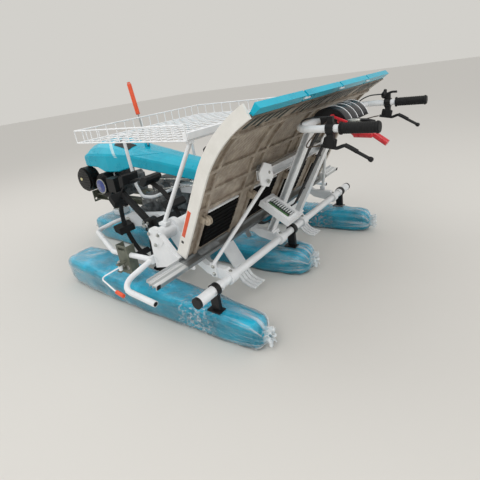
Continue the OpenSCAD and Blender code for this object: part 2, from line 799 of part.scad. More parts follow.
clamp_hw = 20;
sleeve_x = max(rear_tube_hl - sleeve_l, outer_case_x + clamp_hw + fit);
module rear_tube() {
    color(colour_white) {
        axle(-rear_tube_hl, rear_tube_hl, rear_tube_y, rear_tube_z, rear_tube_r);
        both() difference() {
            axle(sleeve_x, rear_tube_hl, rear_tube_y, rear_tube_z, rear_tube_r + sleeve_t);
            translate([rear_tube_hl - 93, rear_tube_y - rear_tube_r - sleeve_t, rear_tube_z])
                cube([50, 2 * sleeve_t, 8], center = true);
        }
    }
}

module tube_caps() {
    color(colour_black) both()
        axle(rear_tube_hl + fit, rear_tube_hl + 12, rear_tube_y, rear_tube_z, rear_tube_r + sleeve_t + 1);
}

// Arms from the planting cases to the rear tube, each with a clamp round it
module cast_arms() {
    color(colour_white) both() for (x = [outer_case_x, inner_case_x]) {
        difference() {
            union() {
                across(planting_case_t, x)
                    polygon([[arm_face, 298], [arm_face, 264], [rail_y, 218],
                             [rear_tube_y, rear_tube_z - 24], [rear_tube_y, rear_tube_z + 24],
                             [rear_tube_y + 14, arm_top], [rail_y, arm_top]]);
                axle(x - clamp_hw, x + clamp_hw, rear_tube_y, rear_tube_z, rear_tube_r + 9);
            }
            axle(x - 30, x + 30, rear_tube_y, rear_tube_z, rear_tube_r + fit);
        }
    }
}

pivot_xs = [-side_tail_x - 28, 0, side_tail_x + 28];
module float_pivots() {
    color(colour_black)
        for (x = pivot_xs)
            difference() {
                union() {
                    axle(x - 11, x + 11, rear_tube_y, rear_tube_z, rear_tube_r + sleeve_t + 5);
                    block(x - 8, x + 8, rear_tube_y - 14, rear_tube_y + 26, float_h + fit,
                          rear_tube_z - 8);
                    block(x - 20, x + 20, rear_tube_y - 20, rear_tube_y + 44, float_h + fit, float_h + 6);
                }
                axle(x - 60, x + 60, rear_tube_y, rear_tube_z,
                     rear_tube_r + (x == 0 ? 0 : sleeve_t) + fit);
            }
}

// Slotted sheets that reach down between the rows, each with flat fingers bent to the rear
module rakes() {
    finger = (rake_w - (rake_fingers - 1) * rake_gap) / rake_fingers;
    neck = [-352, 252];
    root = [-418, 145];
    color(colour_white) both() {
        across(rake_w, rake_x) difference() {
            polygon(concat([[cross_y - 24, cross_z - 22], [cross_y + 8, cross_z - 28],
                            [cross_y + 4, cross_z - cross_r - 8]],
                           [neck + [4, -4], root + [3, -2], root - [3, -2], neck - [4, -4]]));
            translate([cross_y, cross_z]) circle(cross_r + fit);
        }
        for (k = [0:rake_fingers - 1])
            across(finger, rake_x + (k - (rake_fingers - 1) / 2) * (finger + rake_gap))
                polygon(band([root + [2, 3], [-430, 112], [-452, 84], [-482, 70], [-517, 66]], 5));
    }
}

// Two channel posts and the U-shaped handle tube
post_foot = [post_x, -500, 264];
post_head = [post_x, handle_y + 22, grip_z - 26];
module handle_post() {
    d = post_head - post_foot;
    lean = atan2(-d[1], d[2]);
    difference() {
        translate(post_foot) rotate([lean, 0, 0]) difference() {
            translate([-post_w / 2, -post_d / 2, -20]) cube([post_w, post_d, norm(d) + 20]);
            translate([-post_w / 2 + post_t, -post_d / 2 + post_t, -21])
                cube([post_w, post_d - 2 * post_t, norm(d) + 22]);
        }
        block(post_x - 40, post_x + 40, -560, -440, 200, arm_top + fit);
    }
    block(inner_case_x - planting_case_t / 2, post_x + post_w / 2, -522, -480, arm_top + fit, arm_top + 9);
}
module handle_frame() {
    start = [-grip_x, grip_end_y + 4, grip_z];
    color(colour_white) {
        sweep(rounded([start, [-grip_x, handle_y, grip_z], [grip_x, handle_y, grip_z],
                       mirrored(start)], 70, 6), handle_r, [0, 0, 1]);
        both() {
            handle_post();
            rod([post_x, handle_y + 24, grip_z - 30], [post_x, handle_y, grip_z], 9);
        }
    }
}

module grips() {
    color(colour_black) both() difference() {
        translate([grip_x, grip_end_y, grip_z]) rotate([-90, 0, 0]) {
            cylinder(h = grip_l, r = grip_r);
            translate([0, 0, grip_l]) cylinder(h = 5, r = grip_r + 4);
        }
        translate([grip_x, grip_end_y + 4 - fit, grip_z]) rotate([-90, 0, 0])
            cylinder(h = grip_l + 10, r = handle_r + 0.3);
    }
}

lever_y = grip_end_y + grip_l + 26;
module brake_levers() {
    color(colour_black) both() {
        difference() {
            union() {
                translate([grip_x, lever_y, grip_z]) rotate([-90, 0, 0]) cylinder(h = 26, r = handle_r + 7);
                block(grip_x - 9, grip_x + 9, lever_y + 2, lever_y + 24, grip_z - 62, grip_z - handle_r - 2);
                block(grip_x - 8, grip_x + 8, lever_y + 2, lever_y + 22, grip_z + handle_r + 2, grip_z + 40);
            }
            translate([grip_x, lever_y - 2, grip_z]) rotate([-90, 0, 0])
                cylinder(h = 40, r = handle_r + 0.3);
        }
        sweep(rounded([[grip_x, lever_y + 50, grip_z - 57], [grip_x, lever_y - 5, grip_z - 66],
                       [grip_x - 2, lever_y - 33, grip_z - 56], [grip_x - 6, lever_y - 117, grip_z - 104]],
                      12, 4), 6, [1, 0, 0], 8);
    }
}

console_y = handle_y - 44;
console_z = grip_z - 34;
module console() {
    color(colour_black) across(2 * console_hw) difference() {
        translate([console_y, console_z]) circle(console_r, $fn = 64);
        translate([handle_y - 160, grip_z - 170]) square([300, 152]);
        translate([handle_y, grip_z]) circle(handle_r + fit);
        translate([handle_y - 14, grip_z - 20]) square([200, 20 + fit]);
        translate([handle_y + 14, grip_z - 60]) square([100, 200]);
    }
}

// Two levers on the console's left side, ending in a bar and a paddle beside the left grip
module red_levers() {
    side = console_hw + fit;
    bar = [-235, grip_end_y + 112, grip_z - 37];
    paddle = [-196, grip_end_y + 74, grip_z - 32];
    color(colour_red) {
        axle(-side - 12, -side, console_y - 50, console_z + 28, 7);
        rod([-side - 7, console_y - 50, console_z + 28], bar, 5);
        rod(bar, bar + [0, -60, -3], 9);
        axle(-side - 12, -side, console_y - 22, console_z + 48, 7);
        rod([-side - 7, console_y - 22, console_z + 48], paddle, 5);
        rod(paddle, paddle + [-4, -62, -42], 11);
    }
}

// Sloping guide plate on the outer face of the left handle post
guide_at = [-205, -606, 409];
guide_slope = 31;
guide_l = 159;
module lever_guide() {
    inner = -post_x - post_w / 2 - fit - guide_at[0];
    color(colour_white)
        translate(guide_at) rotate([guide_slope, 0, 0]) difference() {
            translate([-48, -guide_l / 2, -14]) cube([48 + inner, guide_l, 28]);
            translate([-30, -guide_l / 2 + 24, 8]) cube([60, guide_l - 48, 8]);
        }
}

// Wire grid of the rack's floor
rack_l = rack_front_y - rack_rear_y;
function long_x(k) = -rack_hw + k * 2 * rack_hw / long_wires;
function cross_wire_y(k) = rack_rear_y + k * rack_l / cross_wires;
module rack_tray() {
    color(colour_white) {
        for (k = [0:long_wires])
            rod([long_x(k), rack_rear_y, rack_z], [long_x(k), rack_front_y, rack_z],
                k == 0 || k == long_wires ? edge_wire_r : mesh_wire_r);
        for (k = [0:cross_wires])
            rod([-rack_hw, cross_wire_y(k), rack_z], [rack_hw, cross_wire_y(k), rack_z],
                k == 0 || k == cross_wires ? edge_wire_r : mesh_wire_r);
    }
}

// Wire fences welded on three edges of the floor, and the sheet beam on the fourth
module rack_fence() {
    foot = rack_z + edge_wire_r + fit;
    top = rack_z + fence_h;
    color(colour_white) {
        rod([-rack_hw, rack_front_y, top], [rack_hw, rack_front_y, top], edge_wire_r);
        for (k = [0:long_wires])
            rod([long_x(k), rack_front_y, foot], [long_x(k), rack_front_y, top], mesh_wire_r);
        both() {
            rod([rack_hw, rack_rear_y, top], [rack_hw, rack_front_y - edge_wire_r - fit, top], edge_wire_r);
            for (k = [0:cross_wires - 1])
                rod([rack_hw, cross_wire_y(k), foot], [rack_hw, cross_wire_y(k), top], mesh_wire_r);
        }
        block(-rack_hw + mesh_wire_r + fit, rack_hw - mesh_wire_r - fit, rack_rear_y - 6, rack_rear_y + 22,
              foot, foot + 26);
    }
}

module rack_legs() {
    foot = cross_z + cross_r + fit;
    pad = rack_z - mesh_wire_r - fit;
    beam = rack_z - edge_wire_r - fit;
    foot_x = cross_hl - 51;
    color(colour_white) both() {
        rod([foot_x, cross_y + 6, foot + 5], [440, rack_rear_y + 8, beam - 6], leg_r, 35);
        block(foot_x - 15, foot_x + 15, cross_y - 20, cross_y + 24, foot, foot + 12);
        block(428, 452, rack_rear_y - 5, rack_rear_y + 20, beam - 9, beam);
        sweep(rounded([[front_leg_x, 318, pad - 3], [front_leg_x, 303, 482], [front_leg_x, 270, 415],
                       [front_leg_x - 20, 204, 408], [72, 204, 408]], 34, 5), leg_r, [1, -1, 0.5], 10);
        block(front_leg_x - 30, front_leg_x + 32, 300, 340, pad - 4, pad);
        block(70 + fit, 76, 191, 218, 392, 424);
    }
}

guard_start = [cross_hl + 14, cross_y + 60, 285];
guard_turn = [cross_hl + 8, 110, 266];
module guard_tubes() {
    color(colour_white) both() {
        // L-shaped guard beside the rail's end
        sweep(rounded([guard_start, [guard_x, cross_y + 100, 226], [guard_x, -370, 208]], 56, 6),
              guard_r, [0.2, 0.3, 1]);
        // loop in front of the wheel
        sweep(rounded([guard_start, guard_turn, [440, guard_front_y, 246], [330, guard_front_y, 252],
                       [98, 487, 262]], 60, 6), guard_r, [0.1, 0.2, 1]);
        block(cross_hl + 1, cross_hl + 26, guard_seat + fit, guard_seat + 18, 268, 302);
        block(96 + fit, 102, 473, 499, 246, 280);
    }
}

// Channel clamped on the guard tube, with the side marker's upright pin
marker_x = cross_hl + marker_out;
marker_z = 225;
marker_sleeve_h = 27;
module marker_brackets() {
    face = marker_x - 28;
    ear = marker_sleeve_h / 2 + 0.5;
    color(colour_olive) both() {
        difference() {
            union() {
                block(face - 4, face, marker_y - 40, marker_y + 40, 180, 322);
                block(face - 44, face, marker_y - 40, marker_y - 36, 190, 322);
                block(face - 44, face, marker_y + 36, marker_y + 40, 190, 322);
                block(guard_turn[0] - 17, face - 3, marker_y - 14, marker_y + 14, 254, 292);
            }
            rod(guard_start, guard_turn, guard_r + fit);
            block(face - 10, face + 10, marker_y - 26, marker_y + 26, 297, 312);
        }
        for (z = [marker_z - ear - 5, marker_z + ear])
            block(face - 1, marker_x + 12, marker_y - 13, marker_y + 13, z, z + 5);
        translate([marker_x, marker_y, marker_z - ear - 5]) cylinder(h = 2 * ear + 14, r = 4);
    }
}

module side_marker() {
    grip = [marker_x + 86, -60, 162];
    color(colour_white) {
        difference() {
            translate([marker_x, marker_y, marker_z]) cylinder(h = marker_sleeve_h, r = 9, center = true);
            translate([marker_x, marker_y, marker_z])
                cylinder(h = marker_sleeve_h + 2, r = 4 + shaft_run, center = true);
        }
        sweep(rounded([[marker_x + 6, marker_y + 6, marker_z], [marker_x + 70, 73, 190],
                       [marker_x + 83, -35, 165], grip], 12, 3), marker_r, [0, 0, 1], 8);
    }
    color(colour_orange) rod(grip, grip + [3, -53, -6], 8);
}
module side_marker_right() side_marker();
module side_marker_left() mirror([1, 0, 0]) side_marker();

pole_tip = [0, 489, pole_top];
pole_way = unit(pole_tip - pole_pivot);
module centre_pole() {
    color(colour_grey) {
        difference() {
            axle(-7.5, 7.5, pole_pivot[1], pole_pivot[2], 8);
            axle(-9, 9, pole_pivot[1], pole_pivot[2], 3 + shaft_run);
        }
        rod(pole_pivot + 5 * pole_way, pole_tip - (pole_grip_l - 5) * pole_way, pole_r);
    }
    color(colour_orange) {
        rod(pole_tip - pole_grip_l * pole_way, pole_tip - 10 * pole_way, 12);
        rod(pole_tip - 12 * pole_way, pole_tip, 9);
    }
}

// Cables from the gearbox along the handle posts to the console, held by cross clips
cable_count = 3;
cable_pitch = 10;
cable_x = 90;
module control_cables() {
    color(colour_black) both() {
        for (k = [0:cable_count - 1]) {
            x = cable_x - cable_pitch * k;
            sweep(rounded([[x, gearbox_rear - fit, 280], [x, -430, 272], [x, -520, 330], [x, -700, 640],
                           [x, -772, 742]], 60, 4), 4, [1, 0, 0], 8);
        }
        for (at = [[-563, 404], [-660, 571]])
            axle(cable_x - 2 * cable_pitch, post_x - post_w / 2 - fit, at[0], at[1], 3);
    }
}

main_frame();
transmission_case();
engine_block();
recoil_starter();
silencer();
air_cleaner();
bonnet();
front_bearer();
planting_tube();
end_brackets();
planting_arms();
lower_rail();
upper_rail();
rear_tube();
tube_caps();
cast_arms();
float_pivots();
float_left();
float_right();
float_centre();
rakes();
handle_frame();
grips();
brake_levers();
console();
red_levers();
lever_guide();
rack_legs();
rack_tray();
rack_fence();
guard_tubes();
marker_brackets();
control_cables();
swing_case_left();
swing_case_right();
wheel_left();
wheel_right();
platform_panel();
side_rails();
feed_belts();
extension_plates();
rail_shoes();
side_marker_left();
side_marker_right();
centre_pole();
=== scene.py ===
import bpy
import math
from mathutils import Matrix, Vector, noise
from mathutils.bvhtree import BVHTree


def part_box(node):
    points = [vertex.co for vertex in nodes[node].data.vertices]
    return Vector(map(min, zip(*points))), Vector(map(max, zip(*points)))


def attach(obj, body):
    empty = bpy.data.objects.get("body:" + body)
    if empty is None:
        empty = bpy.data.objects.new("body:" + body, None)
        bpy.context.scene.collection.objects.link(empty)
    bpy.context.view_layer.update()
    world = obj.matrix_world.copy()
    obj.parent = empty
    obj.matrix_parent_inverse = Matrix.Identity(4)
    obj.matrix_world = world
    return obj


# Four-row walk-behind rice transplanter: finishes, film wrap and small fittings
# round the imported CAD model. Metres, +Y is the direction of travel.
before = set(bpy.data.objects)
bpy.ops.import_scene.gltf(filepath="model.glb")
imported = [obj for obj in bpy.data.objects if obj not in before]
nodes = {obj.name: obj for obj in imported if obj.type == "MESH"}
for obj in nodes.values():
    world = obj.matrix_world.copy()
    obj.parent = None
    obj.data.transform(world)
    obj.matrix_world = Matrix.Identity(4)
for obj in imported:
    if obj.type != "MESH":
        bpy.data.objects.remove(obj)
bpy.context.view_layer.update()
print("frame loaded,", len(nodes), "nodes")


cameraLook = {
    "place": (-1.4779, -1.4341, 0.9698),
    "yaw": 50.5,        # degrees from +Y towards +X
    "pitch": 20.1,      # degrees down
    "roll": -8.4,
    "focalPixels": 371.1,
    "frame": 480,
    "centre": (240.5, 213.5),
}


def placeCamera(look):
    yaw, pitch, roll = (math.radians(look[k]) for k in ("yaw", "pitch", "roll"))
    ahead = Vector((math.sin(yaw) * math.cos(pitch), math.cos(yaw) * math.cos(pitch), -math.sin(pitch)))
    level = Vector((math.cos(yaw), -math.sin(yaw), 0))
    above = level.cross(ahead)
    right = math.cos(roll) * level + math.sin(roll) * above
    up = -math.sin(roll) * level + math.cos(roll) * above
    bpy.ops.object.camera_add()
    cam = bpy.context.object
    cam.name = "photoCamera"
    cam.matrix_world = Matrix((
        (right.x, up.x, -ahead.x, look["place"][0]),
        (right.y, up.y, -ahead.y, look["place"][1]),
        (right.z, up.z, -ahead.z, look["place"][2]),
        (0, 0, 0, 1)))
    size = look["frame"]
    cam.data.sensor_width = 36
    cam.data.lens = look["focalPixels"] / size * 36
    cam.data.shift_x = (size / 2 - look["centre"][0]) / size
    cam.data.shift_y = (look["centre"][1] - size / 2) / size
    cam.data.clip_end = 200
    bpy.context.scene.camera = cam


bpy.ops.object.select_all(action="DESELECT")
placeCamera(cameraLook)
bpy.context.scene.view_settings.view_transform = "Standard"


def srgb(code):  # "#RRGGBB" to linear RGBA
    parts = [int(code[i:i + 2], 16) / 255 for i in (1, 3, 5)]
    return tuple(p / 12.92 if p <= 0.04045 else ((p + 0.055) / 1.055) ** 2.4 for p in parts) + (1,)


def addNode(mat, kind, inputs=None, **settings):  # an input may be a value, a socket or a node
    node = mat.node_tree.nodes.new("ShaderNode" + kind)
    for key, value in settings.items():
        setattr(node, key, value)
    for key, value in (inputs or {}).items():
        if isinstance(value, bpy.types.Node):
            value = value.outputs[0]
        if isinstance(value, bpy.types.NodeSocket):
            mat.node_tree.links.new(value, node.inputs[key])
        else:
            node.inputs[key].default_value = value
    return node


def maths(mat, operation, *values, **settings):
    return addNode(mat, "Math", dict(enumerate(values)), operation=operation, **settings)


def ranged(mat, value, low, high, newLow=0.0, newHigh=1.0, **settings):
    return addNode(mat, "MapRange", {"Value": value, "From Min": low, "From Max": high, "To Min": newLow,
        "To Max": newHigh}, **settings)


def blend(mat, share, first, second):  # colour between two others
    return addNode(mat, "Mix", {"Factor": share, 6: first, 7: second}, data_type="RGBA").outputs[2]


def patchy(mat, vector, sizeMm, detail, roughness=0.5, distortion=0.0, **settings):
    return addNode(mat, "TexNoise", {"Vector": vector, "Scale": perMetre(sizeMm), "Detail": detail,
        "Roughness": roughness, "Distortion": distortion}, **settings).outputs["Fac"]


def newMaterial(name):
    mat = bpy.data.materials.new(name)
    mat.use_nodes = True
    mat.node_tree.nodes.clear()
    return mat


def perMetre(millimetres):  # texture scale for a feature of that size
    return 1000 / millimetres


studio = {
    "floor": "#D6D3CD",
    "background": "#D2D0CB",
    "sky": (0.86, 0.55),  # world strength overhead and at the horizon
    "lamps": [  # place, aim, size in metres, watts
        ((-2.8, -1.4, 3.4), (0, 0, 0.4), 2.6, 46),
        ((1.6, -3.2, 2.6), (0, -0.2, 0.5), 2.4, 16),
        ((-0.4, 3.0, 3.2), (0, 0.3, 0.4), 2.4, 22),
    ],
}


def buildStudio(look):
    bpy.ops.mesh.primitive_plane_add(size=60, location=(0, 0, 0))
    floor = bpy.context.object
    floor.name = "studioFloor"
    mat = newMaterial("paleStudioFloor")
    ground = addNode(mat, "BsdfDiffuse", {"Color": srgb(look["floor"])})
    addNode(mat, "OutputMaterial", {"Surface": ground})
    floor.data.materials.append(mat)
    world = bpy.data.worlds.new("studioWorld")
    bpy.context.scene.world = world
    world.use_nodes = True
    world.node_tree.nodes.clear()
    direction = addNode(world, "TexCoord")
    split = addNode(world, "SeparateXYZ", {0: direction.outputs["Generated"]})
    strength = ranged(world, split.outputs["Z"], 0.0, 0.8, look["sky"][1], look["sky"][0])
    light = addNode(world, "Background", {"Color": (1, 1, 1, 1), "Strength": strength})
    seen = addNode(world, "Background", {"Color": srgb(look["background"]), "Strength": 1})
    path = addNode(world, "LightPath")
    glossy = maths(world, "MAXIMUM", path.outputs["Is Camera Ray"], path.outputs["Is Glossy Ray"])
    direct = maths(world, "MAXIMUM", glossy, path.outputs["Is Transmission Ray"])
    mix = addNode(world, "MixShader", {0: direct, 1: light, 2: seen})
    addNode(world, "OutputWorld", {"Surface": mix})
    for place, aim, size, watts in look["lamps"]:
        bpy.ops.object.light_add(type="AREA", location=place)
        lamp = bpy.context.object
        lamp.data.size = size
        lamp.data.energy = watts
        lamp.rotation_euler = (Vector(aim) - Vector(place)).to_track_quat("-Z", "Y").to_euler()


buildStudio(studio)
print("camera and studio ready")


# Every finish: two close tones in soft patches, a fine grain for the bump and, where the
# real surface has it, dust on the faces that look upwards, a zone of another tone, or relief.
# On the teal plastics the upward tone is brighter: a painted highlight on their tops. The lower
# rail's zone is painted light, and the relief's grooves carry painted shade.
def buildFinish(name, look):
    mat = newMaterial(name)
    place = addNode(mat, "TexCoord").outputs["Object"]
    mapping = addNode(mat, "Mapping", {"Vector": place, "Scale": look.get("stretch", (1, 1, 1))})
    patches = patchy(mat, mapping, look["patchMm"], 5.0, 0.6)
    tone = addNode(mat, "ValToRGB", {"Fac": patches})
    ends = tone.color_ramp.elements
    ends[0].position, ends[1].position = 0.35, 0.68
    ends[0].color, ends[1].color = (srgb(code) for code in look["tones"])
    colour = tone.outputs[0]
    # patchy tone on the faces that look upwards: dust, and on the teal plastics a brighter tone that is a
    # painted highlight
    if "dust" in look:
        geometry = addNode(mat, "NewGeometry")
        split = addNode(mat, "SeparateXYZ", {0: geometry.outputs["Normal"]})
        dustAndHighlightPatches = patchy(mat, place, look.get("dustMm", 22), 8.0, 0.75)
        amount = maths(mat, "MULTIPLY", dustAndHighlightPatches, split.outputs["Z"])
        spread = ranged(mat, amount, 0.25, 0.75, 0.0, look["dustAmount"])
        colour = blend(mat, spread, colour, srgb(look["dust"]))
    spot = addNode(mat, "SeparateXYZ", {0: place})
    if "zone" in look:  # another tone past a distance along one axis, either side of the middle
        axis, start, fade, other = look["zone"]
        away = maths(mat, "ABSOLUTE", spot.outputs[axis])
        share = ranged(mat, away, start, start + fade)
        colour = blend(mat, share, colour, srgb(other))
    rough = ranged(mat, patches, 0.3, 0.7, *look["rough"])
    grain = patchy(mat, mapping, look["grainMm"], 3.0)
    bump = addNode(mat, "Bump", {"Strength": look["bump"], "Distance": look.get("depthMm", 0.3) / 1000,
        "Height": grain})
    if "relief" in look:  # rows of short moulded bars above a height, all in millimetres
        relief = look["relief"]
        turned = addNode(mat, "Mapping", {"Vector": place,
            "Rotation": (math.radians(90), 0, math.radians(38))})
        bars = addNode(mat, "TexBrick", {"Vector": turned, "Scale": 1.0, "Mortar Smooth": 0.7,
            "Mortar Size": relief["groove"] / 1000, "Brick Width": relief["long"] / 1000,
            "Row Height": relief["row"] / 1000})
        start = relief["from"] / 1000
        where = ranged(mat, spot.outputs["Z"], start, start + 0.01)
        groove = maths(mat, "MULTIPLY", bars.outputs[1], where)
        bump = addNode(mat, "Bump", {"Strength": 0.9, "Distance": relief["depth"] / 1000,
            "Height": groove, "Normal": bump}, invert=True)
        # the grooves take the dust tone: painted shade in the recesses
        grooveShade = maths(mat, "MULTIPLY", groove, 0.45)
        colour = blend(mat, grooveShade, colour, srgb(look["dust"]))
    shader = addNode(mat, "BsdfPrincipled", {"Base Color": colour, "Roughness": rough, "Normal": bump,
        "Metallic": look.get("metallic", 0.0), "IOR": look.get("ior", 1.5),
        "Coat Weight": look.get("coat", 0.0), "Coat Roughness": 0.12})
    addNode(mat, "OutputMaterial", {"Surface": shader})
    return mat


def surface(tones, patchMm, smoothest, roughest, grainMm, bump, **more):
    # two close tones, size of their patches, range of roughness, size and strength of the grain
    return dict(tones=tones.split(), patchMm=patchMm, rough=(smoothest, roughest), grainMm=grainMm,
        bump=bump, **more)


finishLooks = {
    # injection-moulded ABS, high gloss straight from a polished mould; the brighter teal on its upward
    # faces is a painted highlight
    "tealAbs": surface("#00A3BE #0FB6D0", 160, 0.24, 0.34, 6, 0.06, coat=0.06, ior=1.38, dust="#20C4DE",
        dustAmount=0.5),
    # blow-moulded polyethylene of the floats, waxy with a soft sheen; the brighter cyan on their upward
    # faces is a painted highlight
    "tealPolyethylene": surface("#0098B4 #10C6E2", 120, 0.3, 0.42, 9, 0.12, depthMm=0.6, dust="#2ADCFF",
        dustAmount=0.5, dustMm=60),
    # powder-coated steel tube and castings, fine orange peel
    "whitePowderCoat": surface("#E3E6E8 #F0F2F3", 90, 0.26, 0.4, 2.4, 0.12, coat=0.15, dust="#B9B2A6",
        dustAmount=0.22),
    # welded wire with a thick dip coat
    "whiteWireCoat": surface("#EEF0F2 #F7F8F8", 40, 0.3, 0.45, 2, 0.1),
    # moulded polystyrene panel, sun-faded, with field dust in its grain and painted shade in the grooves of
    # its relief
    "beigeMoulding": surface("#84776A #B2A798", 42, 0.36, 0.55, 3.5, 0.28, depthMm=0.5, dust="#8E8272",
        dustAmount=0.25, zone=("Z", 0.838, 0.006, "#5E4F40"), relief={"long": 33, "row": 17, "groove": 5,
        "depth": 1.6, "from": 640}),
    # mill-finish extruded aluminium, drawn lines along its length, lighter past 632 mm either side of the
    # middle: painted light on the ends that stand out from under the platform
    "drawnAluminium": surface("#7F8385 #9DA1A3", 7, 0.28, 0.42, 1.6, 0.25, stretch=(0.03, 1, 1),
        metallic=0.9, zone=("X", 0.632, 0.002, "#C2C6C8")),
    # the same extrusion, lighter: painted highlight on the rail's outer ends
    "brightAluminium": surface("#D4D7D8 #E2E4E5", 14, 0.24, 0.32, 3, 0.06, stretch=(0.03, 1, 1),
        metallic=0.6),
    # powder coat gone cream on the platform's side rails
    "creamCoat": surface("#E2E0D9 #ECEAE4", 70, 0.3, 0.44, 2.4, 0.12, coat=0.1, dust="#A79E8E",
        dustAmount=0.12),
    # rubber belts deep in the windows, darker than the other rubber: painted shade
    "shadedRubber": surface("#040404 #080809", 30, 0.75, 0.9, 1.8, 0.3, ior=1.25),
    # enamel of the starter's medallion
    "blueEnamel": surface("#26387C #32468E", 16, 0.12, 0.2, 2, 0.05, coat=0.5),
    # printed green strip under the lever guide's teeth
    "leafGreen": surface("#3E6B3A #4C7C46", 12, 0.35, 0.45, 1.5, 0.08),
    # nylon rollers, stained by handling
    "agedNylon": surface("#9E9180 #B9AE9D", 14, 0.35, 0.5, 1.6, 0.2),
    # vinyl label film, blank
    "orangeLabel": surface("#D9532F #E2603A", 18, 0.3, 0.4, 1.5, 0.06),
    # high-gloss black ABS, mirror-like on the curved console covers
    "glossBlack": surface("#0A0C10 #151722", 40, 0.24, 0.34, 5, 0.05, ior=1.38),
    # painted sheet at the bottom of the lever guide, in deep shade, and the strips over the feed slots: a
    # dark green that is painted shade
    "darkGreenSheet": surface("#1C2B26 #2A3A33", 20, 0.4, 0.55, 2, 0.15),
    # enamel dot and other pale yellow plastic
    "paleYellow": surface("#D8CE9A #E3DAAC", 8, 0.3, 0.4, 1, 0.08),
    # brown-grey sheath of the clutch cables
    "brownSheath": surface("#4B4038 #5C5047", 10, 0.35, 0.45, 1, 0.1),
    # clear tape, milky from the adhesive under it
    "clearTape": surface("#8FC3CE #A9D2DA", 14, 0.12, 0.25, 3, 0.1, coat=0.4),
    # sand-cast aluminium, pebbled skin, darker in patches on the faces that look upwards
    "castAluminium": surface("#55585A #94989A", 30, 0.38, 0.6, 2.2, 0.45, depthMm=0.5, metallic=0.75,
        dust="#4A4744", dustAmount=0.3),
    # forged steel with a thin grey coat
    "greyCasting": surface("#85898B #A3A7A8", 25, 0.35, 0.55, 2, 0.35, metallic=0.5),
    # glass-filled nylon covers, faint moulding grain
    "blackNylon": surface("#0B0C0D #151618", 35, 0.38, 0.52, 1.5, 0.25, ior=1.4, dust="#6F6B66",
        dustAmount=0.06),
    # heat-resisting black paint on sheet steel
    "blackStovePaint": surface("#0A0A0B #161616", 30, 0.3, 0.5, 2.5, 0.2, ior=1.42),
    # moulded rubber of lugs, belts and grips
    "blackRubber": surface("#0C0D0E #18191B", 30, 0.55, 0.72, 1.8, 0.35, ior=1.42, dust="#57544F",
        dustAmount=0.1),
    # olive primer on pressed sheet
    "olivePrimer": surface("#5D6156 #767A6B", 25, 0.35, 0.5, 2.2, 0.2, metallic=0.3, dust="#8D887C",
        dustAmount=0.2),
    # dip-moulded vinyl on lever ends
    "redVinyl": surface("#C81F2B #D92F38", 30, 0.24, 0.34, 3, 0.08, coat=0.3),
    "orangeVinyl": surface("#E9512A #F2643A", 30, 0.35, 0.5, 3, 0.1),
    # zinc-plated fasteners and levers
    "zincPlate": surface("#A7A9A6 #C9CAC6", 12, 0.2, 0.36, 1.2, 0.15, metallic=0.95),
    # grey PVC hose
    "greyHose": surface("#8E9495 #A4AAAA", 20, 0.3, 0.45, 2, 0.1),
    "blackSheath": surface("#151517 #202124", 14, 0.3, 0.42, 1, 0.1),
    "greyPole": surface("#9FA4A6 #B7BBBD", 20, 0.3, 0.4, 2, 0.1, metallic=0.8),
}
finish = {name: buildFinish(name, look) for name, look in finishLooks.items()}

finishNodes = {  # CAD nodes by finish
    "whitePowderCoat": "main_frame planting_tube end_brackets upper_rail rear_tube cast_arms rakes "
                       "handle_frame lever_guide rack_legs guard_tubes swing_case_left swing_case_right",
    "whiteWireCoat": "rack_tray rack_fence side_marker_left side_marker_right",
    "castAluminium": "transmission_case engine_block",
    "blackNylon": "recoil_starter air_cleaner tube_caps float_pivots brake_levers console",
    "blackStovePaint": "silencer",
    "tealAbs": "bonnet extension_plates",
    "olivePrimer": "front_bearer marker_brackets",
    "greyCasting": "planting_arms rail_shoes",
    "drawnAluminium": "lower_rail",
    "tealPolyethylene": "float_left float_right float_centre",
    "blackRubber": "grips wheel_left wheel_right",
    "redVinyl": "red_levers",
    "blackSheath": "control_cables",
    "beigeMoulding": "platform_panel",
    "creamCoat": "side_rails",
    "shadedRubber": "feed_belts",
    "greyPole": "centre_pole",
}
slotFinishes = {  # finishes of the added pieces by material slot
    "white_paint": "whitePowderCoat whiteWireCoat agedNylon clearTape paleYellow",
    "black_plastic": "blackNylon glossBlack darkGreenSheet",
    "bare_alloy": "zincPlate brightAluminium castAluminium",
    "teal_plastic": "tealAbs blueEnamel",
    "orange_plastic": "orangeLabel orangeVinyl",
    "dark_steel": "blackStovePaint",
    "black_rubber": "blackRubber",
    "olive_paint": "leafGreen",
    "cable_sheath": "greyHose blackSheath brownSheath",
}
slotOf = {name: slot for slot, names in slotFinishes.items() for name in names.split()}


def coat(obj, mat):
    obj.data.materials.clear()
    obj.data.materials.append(mat)


for finishName, names in finishNodes.items():
    for name in names.split():
        coat(nodes[name], finish[finishName])
print("finishes on the CAD nodes")


def clearSelection():
    if bpy.context.object and bpy.context.object.mode != "OBJECT":
        bpy.ops.object.mode_set(mode="OBJECT")
    bpy.ops.object.select_all(action="DESELECT")


def take(obj):
    clearSelection()
    obj.select_set(True)
    bpy.context.view_layer.objects.active = obj


def settle(obj, name, material, smooth=None, body="machine", slotName=None):
    # fixes the shape where it stands and gives it its finish and body; the material slot is worked out but
    # not set
    take(obj)
    bpy.ops.object.transform_apply(location=True, rotation=True, scale=True)
    if smooth:
        bpy.ops.object.shade_smooth_by_angle(angle=math.radians(smooth))
    obj.name = name
    coat(obj, finish[material])
    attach(obj, body)
    slotName = slotName or slotOf.get(material)


def addModifier(obj, kind, **settings):
    take(obj)
    mod = obj.modifiers.new(kind, kind)
    for key, value in settings.items():
        setattr(mod, key, value)
    bpy.ops.object.modifier_apply(modifier=mod.name)


